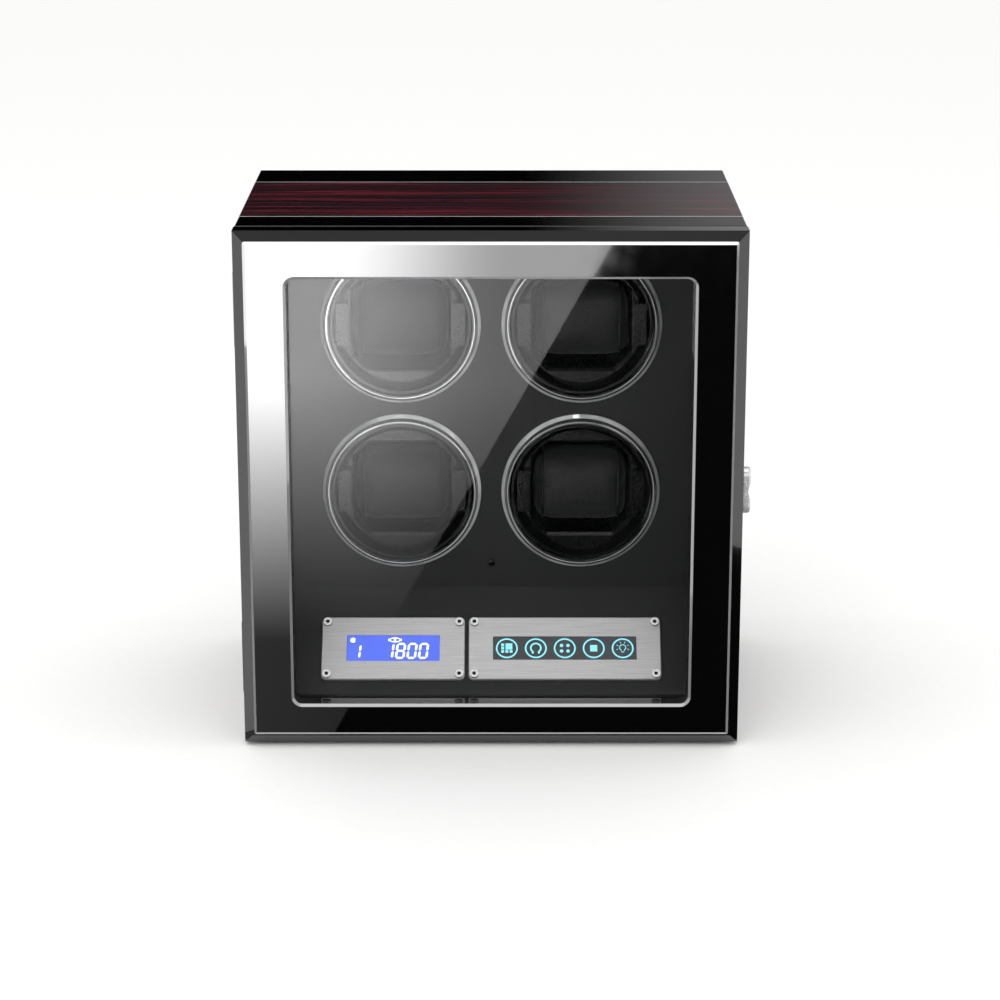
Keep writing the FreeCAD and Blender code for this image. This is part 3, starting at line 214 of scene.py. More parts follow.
def uneven(tree, shader, place, grain_mm, depth_mm, rough, tints=None, stretch=(1, 1, 1), detail=3.0):
    """Noise of a real grain size that drives bump, roughness between two values and two tints."""
    turned = add(tree, "ShaderNodeMapping", {"Vector": place, "Scale": stretch}).outputs[0]
    noise = add(tree, NOISE, {"Vector": turned, "Scale": 1 / (grain_mm * MM), "Detail": detail})
    height = noise.outputs["Fac"]
    spread = add(tree, MAP, {"Value": height, "From Min": NOISE_SPAN[0], "From Max": NOISE_SPAN[1],
                             "To Min": rough[0], "To Max": rough[1]})
    tree.links.new(spread.outputs[0], shader.inputs["Roughness"])
    if depth_mm:
        bump = add(tree, "ShaderNodeBump", {"Height": height, "Strength": 1.0, "Distance": depth_mm * MM})
        tree.links.new(bump.outputs[0], shader.inputs["Normal"])
    if tints:
        ramp = add(tree, RAMP, {"Fac": height}, stops=list(zip(NOISE_SPAN, tints)))
        tree.links.new(ramp.outputs[0], shader.inputs["Base Color"])
    return height


def folded(tree, place, middle_z):
    """Distance to the side and distance up or down from a middle, seen from the front."""
    flat = add(tree, VECTOR, {0: place, 1: (0, 0, middle_z)}, operation="SUBTRACT").outputs[0]
    flat = add(tree, VECTOR, {0: flat, 1: (1, 0, 1)}, operation="MULTIPLY").outputs[0]
    return add(tree, VECTOR, {0: flat}, operation="ABSOLUTE").outputs[0]


def band(tree, place, half, middle_z, corner, reach):
    """One where the distance outside a rounded rectangle, seen from the front, lies within reach."""
    flat = folded(tree, place, middle_z)
    straight = (half[0] - corner, 0, half[1] - corner)
    over = add(tree, VECTOR, {0: flat, 1: straight}, operation="SUBTRACT").outputs[0]
    over = add(tree, VECTOR, {0: over, 1: (0, 0, 0)}, operation="MAXIMUM").outputs[0]
    away = add(tree, VECTOR, {0: over}, operation="LENGTH").outputs["Value"]
    return add(tree, MATH, {0: away, 1: corner + sum(reach) / 2, 2: (reach[1] - reach[0]) / 2},
               operation="COMPARE").outputs[0]


def lacquer_finish():
    """Polyester lacquer on fibreboard, sprayed and buffed: a deep mirror black with a faint ripple."""
    material, tree, shader, place = surface("polished_black_lacquer", Base_Color=colours().lacquer, IOR=1.52)
    uneven(tree, shader, place, 9.0, 0.003, (0.03, 0.07))
    return material


def door_finish():
    """The same lacquer, with a painted highlight on the step and the window's chamfer: a pale, partly
    metallic line.
    """
    material, tree, shader, place = surface("lacquer_with_painted_highlight_line", IOR=1.6, Coat_Weight=1.0,
                                            Coat_Roughness=0.02)
    uneven(tree, shader, place, 9.0, 0.003, (0.04, 0.08))
    low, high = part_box("door_frame")
    middle = (low.z + high.z) / 2
    inset = STEP_INSET + STEP_WIDTH
    # Painted highlight: a pale, partly metallic band along the step, weaker along the window's chamfer, front
    # faces only
    step = band(tree, place, (high.x - inset, (high.z - low.z) / 2 - inset), middle, 0.0, HIGHLIGHT_REACH)
    rim_highlight = band(tree, place, WINDOW_HALF, WINDOW_MIDDLE, WINDOW_CORNER, HIGHLIGHT_REACH)
    rim_highlight = add(tree, MATH, {0: rim_highlight, 1: RIM_HIGHLIGHT_SHARE}, operation="MULTIPLY").outputs[0]
    lines = add(tree, MATH, {0: step, 1: rim_highlight}, operation="MAXIMUM").outputs[0]
    depth = add(tree, "ShaderNodeSeparateXYZ", {"Vector": place}).outputs["Y"]
    front = add(tree, MATH, {0: depth, 1: low.y + STEP_WIDTH}, operation="LESS_THAN").outputs[0]
    painted_highlight = add(tree, MATH, {0: lines, 1: front}, operation="MULTIPLY").outputs[0]
    highlight_metalness = add(tree, MATH, {0: painted_highlight, 1: HIGHLIGHT_METALLIC}, operation="MULTIPLY").outputs[0]
    tree.links.new(highlight_metalness, shader.inputs["Metallic"])
    ramp = add(tree, RAMP, {"Fac": painted_highlight}, stops=[(0.0, colours().lacquer), (1.0, linear("#E4E4E6"))])
    tree.links.new(ramp.outputs[0], shader.inputs["Base Color"])
    return material


def veneer_finish(name, along):
    """Dyed striped veneer under lacquer: red lines about 2 mm wide, a centimetre or so apart, that wander."""
    material, tree, shader, place = surface(name, IOR=1.5, Coat_Weight=0.5, Coat_Roughness=0.08,
                                            Roughness=0.35)
    scale = (along[0] / SWAY_ALONG, 1 / SWAY_ACROSS, along[2] / SWAY_ALONG)
    slow = add(tree, "ShaderNodeMapping", {"Vector": place, "Scale": scale}).outputs[0]
    sway = add(tree, NOISE, {"Vector": slow, "Scale": 1.0, "Detail": 1.0}).outputs["Color"]
    moved = add(tree, VECTOR, {0: sway, 1: (0, VENEER_SWAY, 0), 2: place},
                operation="MULTIPLY_ADD").outputs[0]
    scale = (along[0] / FIGURE_LENGTH, 1 / FIGURE_GAP, along[2] / FIGURE_LENGTH)
    thin = add(tree, "ShaderNodeMapping", {"Vector": moved, "Scale": scale}).outputs[0]
    lines = add(tree, NOISE, {"Vector": thin, "Scale": 1.0, "Detail": 4.0}).outputs["Fac"]
    deep = colours().veneer_dark
    red = colours().veneer_red
    ramp = add(tree, RAMP, {"Fac": lines},
               stops=[(0.34, linear("#0D080C")), (0.44, deep), (0.47, red), (0.50, deep),
                      (0.57, linear("#151019")), (0.63, linear("#380D17")), (0.68, deep)])
    tree.links.new(ramp.outputs[0], shader.inputs["Base Color"])
    bump = add(tree, "ShaderNodeBump", {"Height": lines, "Strength": 0.3, "Distance": 0.02 * MM})
    tree.links.new(bump.outputs[0], shader.inputs["Normal"])
    return material


def plain_finish(name, code, rough, grain_mm, depth_mm, metallic=0.0, stretch=(1, 1, 1), shift=0.25,
                 **constants):
    """A finish of one colour that its grain lightens and darkens by the given share."""
    base = linear(code) if isinstance(code, str) else list(code)
    material, tree, shader, place = surface(name, Metallic=metallic, **constants)
    darker = [c * (1 - shift) for c in base[:3]] + [1.0]
    lighter = [min(1.0, c * (1 + shift)) for c in base[:3]] + [1.0]
    uneven(tree, shader, place, grain_mm, depth_mm, rough, (darker, lighter), stretch)
    return material


def screw_finish():
    """Turned and plated screw steel: a bright head, and painted shade that turns socket and lower sides black
    with depth.
    """
    material, tree, shader, place = surface("plated_console_screw", Metallic=0.7)
    uneven(tree, shader, place, 0.4, 0.003, (0.16, 0.26))
    top = float(face_middle("plate_screws") @ SLOPE_OUT)
    # Painted shade: black below the socket's floor, full bright above where the shade begins
    out = add(tree, VECTOR, {0: place, 1: tuple(SLOPE_OUT)}, operation="DOT_PRODUCT").outputs["Value"]
    height = add(tree, MAP, {"Value": out, "From Min": top - SOCKET_FLOOR,
                             "From Max": top - SOCKET_SHADE}).outputs[0]
    ramp = add(tree, RAMP, {"Fac": height}, stops=[(0.0, linear("#08080A")), (1.0, linear("#E6E6E8"))])
    tree.links.new(ramp.outputs[0], shader.inputs["Base Color"])
    return material


def pane_finish():
    """Coated float glass, 3 mm: most light passes, and the raised index gives a clear mirror image."""
    material, tree, shader, place = surface("coated_float_glass", Base_Color=linear("#0A0D0C"), IOR=1.85,
                                            Alpha=0.16)
    uneven(tree, shader, place, 60.0, 0, (0.0, 0.015))
    return material


def acrylic_finish():
    """Cast acrylic, turned and polished: clear, with painted highlights as pale turned edges that are half
    like a mirror.
    """
    material, tree, shader, place = surface("polished_clear_acrylic", Base_Color=linear("#FAFCFC"), IOR=1.49)
    uneven(tree, shader, place, 4.0, 0.002, (0.0, 0.04))
    middle = (node_middle("clear_ring_upper_right") + node_middle("clear_ring_lower_right")) / 2
    pitch = node_middle("clear_ring_upper_right") - middle
    flat = folded(tree, place, middle[2])
    flat = add(tree, VECTOR, {0: flat, 1: (middle[0], 0, pitch[2])}, operation="SUBTRACT").outputs[0]
    away = add(tree, VECTOR, {0: flat}, operation="LENGTH").outputs["Value"]
    # Painted highlight: pale, opaque bands at the outer and inner edges, metallic in noise patches
    outer = add(tree, MATH, {0: away, 1: RING_EDGE[0], 2: RING_EDGE[1]}, operation="COMPARE").outputs[0]
    inner = add(tree, MATH, {0: away, 1: RING_LIP[0], 2: RING_LIP[1]}, operation="COMPARE").outputs[0]
    edge = add(tree, MATH, {0: outer, 1: inner}, operation="MAXIMUM").outputs[0]
    clear = add(tree, MAP, {"Value": edge, "To Min": 1.0, "To Max": 0.0}).outputs[0]
    tree.links.new(clear, shader.inputs["Transmission Weight"])
    highlight_patches = add(tree, NOISE, {"Vector": place, "Scale": 1 / RING_HIGHLIGHT_PATCH, "Detail": 2.0}).outputs["Fac"]
    ring_glint = add(tree, MAP, {"Value": highlight_patches, "From Min": RING_SPAN[0], "From Max": RING_SPAN[1],
                             "To Min": RING_HIGHLIGHT_METALLIC[0], "To Max": RING_HIGHLIGHT_METALLIC[1]}).outputs[0]
    ring_glint = add(tree, MATH, {0: edge, 1: ring_glint}, operation="MULTIPLY").outputs[0]
    tree.links.new(ring_glint, shader.inputs["Metallic"])
    return material


def lit_finish(name, base, glow, strength, grain_mm, spread):
    """A lit face: a glossy cover over a glow that varies by a share over the given size."""
    material, tree, shader, place = surface(name, Base_Color=base, IOR=1.5, Emission_Strength=strength)
    height = uneven(tree, shader, place, grain_mm, 0, (0.12, 0.2))
    dim = [c * (1 - spread) for c in glow[:3]] + [1.0]
    ramp = add(tree, RAMP, {"Fac": height}, stops=[(0.25, dim), (0.75, glow)])
    tree.links.new(ramp.outputs[0], shader.inputs["Emission Color"])
    return material


def leather_finish():
    """Leatherette: an embossed grain of cells 1.3 mm wide, a soft sheen on the cells, and painted shade in
    the grooves.
    """
    material, tree, shader, place = surface("black_leatherette", IOR=1.5, Sheen_Weight=0.15,
                                            Sheen_Roughness=0.5)
    bent = add(tree, NOISE, {"Vector": place, "Scale": 1 / BEND_LENGTH, "Detail": 2.0}).outputs["Color"]
    shifted = add(tree, VECTOR, {0: bent, 1: (CELL_BENT,) * 3}, operation="MULTIPLY").outputs[0]
    moved = add(tree, VECTOR, {0: place, 1: shifted}, operation="ADD").outputs[0]
    cells = add(tree, "ShaderNodeTexVoronoi", {"Vector": moved, "Scale": 1 / CELL_WIDE},
                feature="DISTANCE_TO_EDGE").outputs["Distance"]
    grain = add(tree, MAP, {"Value": cells, "From Min": 0.0, "From Max": CELL_EDGE}).outputs[0]
    bump = add(tree, "ShaderNodeBump", {"Height": grain, "Strength": 0.7, "Distance": CELL_DEEP})
    tree.links.new(bump.outputs[0], shader.inputs["Normal"])
    base = colours().pillow
    # Painted shade: the colour darkens in the grooves between the cells
    dark = [c * GROOVE_SHADE for c in base[:3]] + [1.0]
    ramp = add(tree, RAMP, {"Fac": grain}, stops=[(0.0, dark), (1.0, base)])
    tree.links.new(ramp.outputs[0], shader.inputs["Base Color"])
    rough = add(tree, MAP, {"Value": grain, "To Min": CELL_ROUGH[0], "To Max": CELL_ROUGH[1]}).outputs[0]
    tree.links.new(rough, shader.inputs["Roughness"])
    return material


def wear(material, *nodes):
    """Puts a finish on nodes of the frame."""
    for node in nodes:
        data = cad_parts[node].data
        if data.materials:
            data.materials[0] = material
        else:
            data.materials.append(material)


# Meshes


def piece(name, points, faces, material, body, smooth=True):
    """A new piece from arrays of points and faces, placed in its mesh, that rides on a body."""
    mesh = bpy.data.meshes.new(name)
    mesh.from_pydata(np.asarray(points).tolist(), [], faces)
    mesh.update()
    mesh.polygons.foreach_set("use_smooth", np.full(len(mesh.polygons), smooth))
    mesh.materials.append(material)
    made = bpy.data.objects.new(name, mesh)
    bpy.context.scene.collection.objects.link(made)
    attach(made, body)
    return made


def ring_faces(rows, columns, closed):
    """Quads of a grid of rows along a path and columns round it; the path closes on itself if asked."""
    row = np.arange(rows if closed else rows - 1)[:, None]
    column = np.arange(columns)[None, :]
    following = (row + 1) % rows
    beside = (column + 1) % columns
    quads = np.stack([row * columns + column, row * columns + beside,
                      following * columns + beside, following * columns + column], -1)
    return quads.reshape(-1, 4).tolist()


def stroke(path, width, low, high, closed=False):
    """A bar on the face: a rectangle as wide as the stroke carried along a flat path, mitred at corners."""
    path = np.asarray(path, float)
    if closed:
        ahead = np.roll(path, -1, 0) - path
        behind = path - np.roll(path, 1, 0)
    else:
        ahead = np.diff(path, axis=0, append=2 * path[-1:] - path[-2:-1])
        behind = np.diff(path, axis=0, prepend=2 * path[:1] - path[1:2])
    ahead = ahead / np.linalg.norm(ahead, axis=1, keepdims=True)
    behind = behind / np.linalg.norm(behind, axis=1, keepdims=True)
    mean = ahead + behind
    mean = mean / np.linalg.norm(mean, axis=1, keepdims=True)
    mitre = 1 / np.clip((mean * ahead).sum(1), MITRE_LEAST, 1)
    side = np.stack([-mean[:, 1], mean[:, 0]], 1) * (width / 2 * mitre)[:, None]
    left, right = path + side, path - side
    count = len(path)
    corners = ((right, low), (right, high), (left, high), (left, low))
    points = np.stack([np.column_stack([edge, np.full(count, level)]) for edge, level in corners], 1)
    faces = ring_faces(count, 4, closed)
    if not closed:
        last = 4 * (count - 1)
        faces += [[0, 1, 2, 3], [last + 3, last + 2, last + 1, last]]
    return points.reshape(-1, 3), faces


def pad(outline, low, high):
    """A raised flat shape: its outline, counter-clockwise, at two heights with walls between."""
    outline = np.asarray(outline, float)
    count = len(outline)
    points = np.concatenate([np.column_stack([outline, np.full(count, low)]),
                             np.column_stack([outline, np.full(count, high)])])
    here = np.arange(count)
    following = (here + 1) % count
    walls = np.stack([here, following, following + count, here + count], 1).tolist()
    return points, walls + [here[::-1].tolist(), (here + count).tolist()]


def arc(middle, radius, start, end, count):
    """Points of a circle's arc between two angles in degrees."""
    turn = np.radians(np.linspace(start, end, count))
    return np.stack([middle[0] + radius * np.cos(turn), middle[1] + radius * np.sin(turn)], 1)


def joined(shapes):
    """Several point and face sets as one."""
    starts = np.cumsum([0] + [len(points) for points, _ in shapes])
    points = np.concatenate([points for points, _ in shapes])
    faces = [[int(i) + int(start) for i in face]
             for start, (_, shape) in zip(starts, shapes) for face in shape]
    return points, faces


def on_slope(points, middle):
    """Points given across, up the slope and out of it, set round a middle in the frame."""
    points = np.asarray(points)
    return (np.asarray(middle) + points[:, :1] * ACROSS
            + points[:, 1:2] * SLOPE_UP + points[:, 2:] * SLOPE_OUT)


def coordinates(mesh):
    """A mesh's points as rows of an array."""
    points = np.empty(len(mesh.vertices) * 3)
    mesh.vertices.foreach_get("co", points)
    return points.reshape(-1, 3)


def node_middle(node):
    """The middle of a node's box at rest."""
    low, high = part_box(node)
    return (np.array(low) + np.array(high)) / 2


def face_middle(node):
    """The middle of a console node's outer face, measured across, up the slope and out of it."""
    points = coordinates(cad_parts[node].data)
    across, up, out = points[:, 0], points @ SLOPE_UP, points @ SLOPE_OUT
    middle = ((across.min() + across.max()) / 2, (up.min() + up.max()) / 2, out.max())
    return middle[0] * ACROSS + middle[1] * SLOPE_UP + middle[2] * SLOPE_OUT


SEGMENTS = {
    "0": "abcdef", "1": "bc", "2": "abged", "3": "abgcd", "4": "fgbc",
    "5": "afgcd", "6": "afgedc", "7": "abc", "8": "abcdefg", "9": "abcdfg",
}
BARS = {
    "a": ((0, 1), (1, 1)), "b": ((1, 1), (1, 0.5)), "c": ((1, 0.5), (1, 0)), "d": ((0, 0), (1, 0)),
    "e": ((0, 0.5), (0, 0)), "f": ((0, 1), (0, 0.5)), "g": ((0, 0.5), (1, 0.5)),
}


def digit_bars(text, left, foot, height, low, high):
    """Seven-segment digits: each lit bar is a hexagon pointed at both ends."""
    wide, half, gap = height * DIGIT_WIDE, height * BAR_HALF, height * BAR_GAP
    shapes = []
    for index, sign in enumerate(text):
        for bar in SEGMENTS[sign]:
            corner = (left + index * height * DIGIT_PITCH, foot)
            ends = np.array(BARS[bar], float) * (wide, height) + corner
            run = (ends[1] - ends[0]) / np.linalg.norm(ends[1] - ends[0])
            side = np.array((-run[1], run[0]))
            start, end = ends[0] + run * gap, ends[1] - run * gap
            bar_outline = np.array([start, start + half * (run - side), end - half * (run + side), end,
                                    end - half * (run - side), start + half * (run + side)])
            bar_outline[:, 0] += (bar_outline[:, 1] - foot) * LEAN
            shapes.append(pad(bar_outline, low, high))
    return shapes


# Operators


class WINDER_OT_cabinet(bpy.types.Operator):
    """Finishes of the boards, the veneer, the metal lines, the back and the base"""
    bl_idname = "winder.cabinet"
    bl_label = "Cabinet"

    def execute(self, context):
        wear(lacquer_finish(), "top_board", "bottom_board", "left_side_board", "right_side_board")
        wear(veneer_finish("lacquered_striped_veneer", (1, 0, 0)), "veneer_band_top")
        wear(veneer_finish("lacquered_striped_veneer_upright", (0, 0, 1)), "veneer_band_left",
             "veneer_band_right")
        # Drawn aluminium strip, buffed: a bright line with fine marks along its length
        strip = plain_finish("buffed_aluminium_line", "#D9D9DC", (0.3, 0.42), 0.4, 0.002, 0.3,
                             (0.02, 1, 0.02), 0.06)
        wear(strip, "inlay_lines")
        # Black painted hardboard: a low sheen over a fine orange peel
        wear(plain_finish("painted_hardboard", "#0D0D0E", (0.45, 0.6), 1.2, 0.02, shift=0.15), "back_panel")
        # Needled felt: matt fibres in tufts of half a millimetre
        wear(plain_finish("black_felt", "#141415", (0.9, 1.0), 0.5, 0.15, shift=0.5, Sheen_Weight=0.4),
             "base_pad")
        # Sawn fibreboard: flecked fibres under a millimetre long
        wear(plain_finish("raw_fibreboard", "#A98759", (0.75, 0.9), 0.8, 0.03, shift=0.2), "panel_battens",
             "motor_board")
        return {"FINISHED"}


class WINDER_OT_door(bpy.types.Operator):
    """Finishes of the door frame, its pane, its beads, its pull and its hinges"""
    bl_idname = "winder.door"
    bl_label = "Door"

    def execute(self, context):
        wear(door_finish(), "door_frame")
        wear(pane_finish(), "door_glass")
        # Black moulded strip round the pane: satin
        wear(plain_finish("satin_black_bead", "#0C0C0D", (0.3, 0.4), 1.0, 0.01, shift=0.15), "glass_beads")
        # Plated zinc casting, satin: a soft silver shine with faint wiping marks
        wear(plain_finish("satin_nickel", "#DCDCDE", (0.2, 0.3), 3.0, 0.002, 0.6, shift=0.03), "door_pull")
        # Pressed steel, zinc plated: soft grey shine with rolling marks
        steel = plain_finish("plated_hinge_steel", "#B4B4B4", (0.25, 0.4), 0.5, 0.004, 1.0, (1, 1, 0.1), 0.08)
        wear(steel, "hinge_cabinet_leaves", "hinge_door_leaves", "hinge_pins", "hinge_screws_door",
             "hinge_screws_cabinet", "door_magnets", "strike_plates")
        return {"FINISHED"}


class WINDER_OT_inside(bpy.types.Operator):
    """Finishes of the panels, the console, the light, the boards, the motors and the cups"""
    bl_idname = "winder.inside"
    bl_label = "Inside"

    def execute(self, context):
        tints = colours()
        # Sprayed matt plastic: a fine speckle of about half a millimetre
        wear(plain_finish("sprayed_matt_panel", tints.panel, (0.5, 0.65), 0.45, 0.02, shift=0.18),
             "rotor_panel", "console_panel")
        # Aluminium sheet brushed along its length: lines half a millimetre apart, coarser than real, to show
        wear(plain_finish("brushed_aluminium", tints.plate, (0.34, 0.5), 0.5, 0.006, 0.4, (0.02, 1, 1), 0.14),
             "display_plate", "touch_plate", "led_channel")
        # Backlit liquid crystal: a blue glow that varies slowly over the face
        wear(lit_finish("lit_display", linear("#101A50"), tints.display, 1.35, 30.0, 0.14), "display_module")
        # Smoked acrylic: a dark gloss face with a faint mottle
        wear(plain_finish("smoked_acrylic", tints.touch, (0.12, 0.2), 6.0, 0, shift=0.12), "touch_panel")
        # Turned stainless steel: bright, with fine turning marks
        steel = plain_finish("turned_steel", "#9B9B9D", (0.16, 0.26), 0.4, 0.003, 1.0, shift=0.08)
        wear(screw_finish(), "plate_screws")
        wear(steel, "back_panel_screws", "motor_screws", *(f"rotor_shaft_{c}" for c in CUPS))
        # Glass fibre board under green solder mask: satin, mottled by the copper below
        wear(plain_finish("green_circuit_board", "#0E5A2C", (0.3, 0.45), 1.5, 0.03, shift=0.3),
             "control_board", "driver_board")
        # Moulded nylon: milky and matt
        wear(plain_finish("white_nylon", "#D8D5C8", (0.5, 0.6), 1.0, 0.01, shift=0.06), "board_standoffs")
        # Frosted polycarbonate over light emitting diodes: white light, a little uneven
        wear(lit_finish("frosted_light_cover", linear("#E8E8E6"), linear("#FFFFFF"), 5.0, 8.0, 0.1),
             "led_diffuser")
        # Infrared lens of dark moulded plastic: near black gloss with a trace of red
        wear(plain_finish("dark_lens", "#0E0809", (0.05, 0.1), 2.0, 0, shift=0.2, Coat_Weight=0.5),
             "ir_receiver")
        # Moulded black plastic: satin, finely etched
        wear(plain_finish("moulded_black_plastic", "#0B0B0C", (0.2, 0.3), 0.6, 0.006, shift=0.2), "dc_jack",
             *(f"rotor_cup_{c}" for c in CUPS))
        # Vinyl insulation: black, slightly shiny
        wear(plain_finish("vinyl_insulation", "#0D0D0E", (0.35, 0.45), 2.0, 0.01, shift=0.2), "motor_leads")
        # Zinc plated can and gearbox: grey, patchy shine
        wear(plain_finish("zinc_plated_motor", "#A5A6A8", (0.3, 0.45), 3.0, 0.006, 1.0, shift=0.12),
             *(f"gearmotor_{c}" for c in CUPS))
        wear(acrylic_finish(), *(f"clear_ring_{c}" for c in CUPS))
        return {"FINISHED"}


class WINDER_OT_pillows(bpy.types.Operator):
    """Inflated leatherette pillows with piping round both ends"""
    bl_idname = "winder.pillows"
    bl_label = "Pillows"

    # The cloth is simulated this many times larger, from the CAD form shrunk by these shares
    GROWN = 10.0
    SHRUNK = (0.955, 0.905, 0.92)
    # How far the pillow may stand proud of the CAD form on each axis
    PROUD = np.array((0.2, 0.25, 0.4)) * MM
    # Steps of the cloth within a frame, and how stiff it is against stretch and against bending
    QUALITY, STIFFNESS, BENDING = 6, 20, 1.5
    # Piping: points round the pillow and round the tube, the strip that is searched, the waves that are kept
    # of its outline, and the share of its radius that is sunk into the cover
    STATIONS = 72
    ROUND = 10
    STRIP = 2.5 * MM
    WAVES = 14
    SUNK_SHARE = 0.35

    def inflated(self, context):
        """The pillow round its own middle: the CAD form shrunk, remeshed, inflated as cloth and clipped."""
        chosen = sizes()
        middle = node_middle("pillow_upper_left")
        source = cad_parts["pillow_upper_left"].data
        shape = bmesh.new()
        shape.from_mesh(source)
        bmesh.ops.remove_doubles(shape, verts=shape.verts, dist=WELD)
        bmesh.ops.recalc_face_normals(shape, faces=shape.faces)
        mesh = bpy.data.meshes.new("pillow_start")
        shape.to_mesh(mesh)
        shape.free()
        points = (coordinates(mesh) - middle) * self.SHRUNK * self.GROWN
        mesh.vertices.foreach_set("co", points.ravel())
        mesh.update()
        made = bpy.data.objects.new("pillow_start", mesh)
        context.scene.collection.objects.link(made)
        remesh = made.modifiers.new("Voxels", "REMESH")
        remesh.mode = "VOXEL"
        remesh.voxel_size = chosen.voxel * self.GROWN
        start = self.evaluated(context, made)
        cloth = made.modifiers.new("Cloth", "CLOTH")
        cloth.settings.quality = self.QUALITY
        cloth.settings.use_pressure = True
        cloth.settings.uniform_pressure_force = chosen.pressure
        cloth.settings.tension_stiffness = self.STIFFNESS
        cloth.settings.compression_stiffness = self.STIFFNESS
        cloth.settings.bending_stiffness = self.BENDING
        cloth.settings.effector_weights.gravity = 0
        cloth.collision_settings.use_collision = False
        cloth.point_cache.frame_start = 1
        cloth.point_cache.frame_end = chosen.steps
        for step in range(1, chosen.steps + 1):
            context.scene.frame_set(step)
        done = self.evaluated(context, made)
        faces = [list(p.vertices) for p in done.polygons]
        first, last = coordinates(start) / self.GROWN, coordinates(done) / self.GROWN
        moved = last - first
        far = np.linalg.norm(moved, axis=1, keepdims=True)
        points = first + moved * np.minimum(1, chosen.swell / np.maximum(far, TINY))
        bpy.data.objects.remove(made)
        context.scene.frame_set(1)
        low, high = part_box("pillow_upper_left")
        room = (np.array(high) - np.array(low)) / 2
        limit = room + self.PROUD
        return np.clip(points, -limit, limit), faces

    def evaluated(self, context, made):
        """The mesh with its modifiers applied."""
        graph = context.evaluated_depsgraph_get()
        return bpy.data.meshes.new_from_object(made.evaluated_get(graph))

    def piping(self, points, at):
        """A tube round the pillow at one place across it: the farthest point in each direction, smoothed."""
        chosen = sizes()
        near = points[np.abs(points[:, 0] - at) < self.STRIP]
        angle = np.arctan2(near[:, 2], near[:, 1])
        slot = np.floor((angle + np.pi) / (2 * np.pi) * self.STATIONS).astype(int) % self.STATIONS
        reach = np.zeros(self.STATIONS)
        np.maximum.at(reach, slot, np.hypot(near[:, 1], near[:, 2]))
        waves = np.fft.rfft(reach)
        waves[self.WAVES:] = 0
        reach = np.fft.irfft(waves, self.STATIONS) - chosen.piping * self.SUNK_SHARE
        turn = (np.arange(self.STATIONS) + 0.5) / self.STATIONS * 2 * np.pi - np.pi
        path = np.stack([np.full(self.STATIONS, at), reach * np.cos(turn), reach * np.sin(turn)], 1)
        out = np.stack([np.zeros(self.STATIONS), np.cos(turn), np.sin(turn)], 1)
        round_turn = np.arange(self.ROUND) / self.ROUND * 2 * np.pi
        tube = (path[:, None] + chosen.piping * (np.cos(round_turn)[None, :, None] * out[:, None]
                                                 + np.sin(round_turn)[None, :, None] * ACROSS))
        return tube.reshape(-1, 3), ring_faces(self.STATIONS, self.ROUND, True)

    def execute(self, context):
        points, faces = self.inflated(context)
        cover = leather_finish()
        # Bonded cord under leatherette: the same black, smoother
        cord = plain_finish("leatherette_piping", "#1C1C1E", (0.35, 0.5), 1.0, 0.03, shift=0.25)
        tubes = joined([self.piping(points, s * sizes().piping_place) for s in (-1, 1)])
        for cup in CUPS:
            middle = node_middle(f"pillow_{cup}")
            made = piece(f"padded_pillow_{cup}", points + middle, faces, cover, f"cushion_{cup}")
            finer = made.modifiers.new("Smooth", "SUBSURF")
            finer.levels = finer.render_levels = 1
            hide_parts(f"pillow_{cup}")
            trim = piece(f"pillow_piping_{cup}", tubes[0] + middle, tubes[1], cord, f"cushion_{cup}")
            shape = bmesh.new()
            shape.from_mesh(trim.data)
            bmesh.ops.recalc_face_normals(shape, faces=shape.faces)
            shape.to_mesh(trim.data)
            shape.free()
        return {"FINISHED"}


class WINDER_OT_digits(bpy.types.Operator):
    """Seven-segment digits and two signs on the display"""
    bl_idname = "winder.digits"
    bl_label = "Display digits"

    # Left ends and feet of the digits from the display's middle, and the small digit's share of the height
    LARGE_LEFT = -5.4 * MM
    SMALL_LEFT = -25.3 * MM
    FOOT = -6.6 * MM
    SMALL_SHARE = 0.92
    # Middles of the signs, in millimetres
    EYE_PLACE = (1.0, 5.7)
    MOON_PLACE = (-25.0, 5.5)

    def execute(self, context):
        winder = context.scene.winder
        tall = winder.sizes.digit_height
        small = tall * self.SMALL_SHARE
        face = -SUNK
        top = face + winder.sizes.ink
        shapes = digit_bars(winder.digits_large, self.LARGE_LEFT, self.FOOT, tall, face, top)
        shapes += digit_bars(winder.digits_small, self.SMALL_LEFT, self.FOOT, small, face, top)
        # Signs in millimetres: two arcs that meet round a dot, and a crescent between two arcs
        eye = np.concatenate([arc((0, -2.2), 3.6, 35, 145, 16), arc((0, 2.2), 3.6, 215, 325, 16)])
        eye = eye * (1.3, 1.0)
        moon = np.concatenate([arc((0, 0), 1.7, 50, 310, 24), arc((1.0, 0), 1.36, 285, 75, 18)])
        dot = arc((0, 0), 0.85, 0, 340, 18)
        for sign, middle in ((stroke(eye, 0.7, 0, 1, closed=True), self.EYE_PLACE),
                             (pad(dot, 0, 1), self.EYE_PLACE), (pad(moon, 0, 1), self.MOON_PLACE)):
            points = sign[0] * (MM, MM, top - face) + (middle[0] * MM, middle[1] * MM, face)
            shapes.append((points, sign[1]))
        points, faces = joined(shapes)
        # Clear segments of the liquid crystal: the backlight shows through, nearly white
        glow = lit_finish("lit_digits", linear("#DCE6FF"), winder.colours.digit, 1.5, 10.0, 0.08)
        points = on_slope(points, face_middle("display_module"))
        piece("display_digits", points, faces, glow, "cabinet", False)
        return {"FINISHED"}


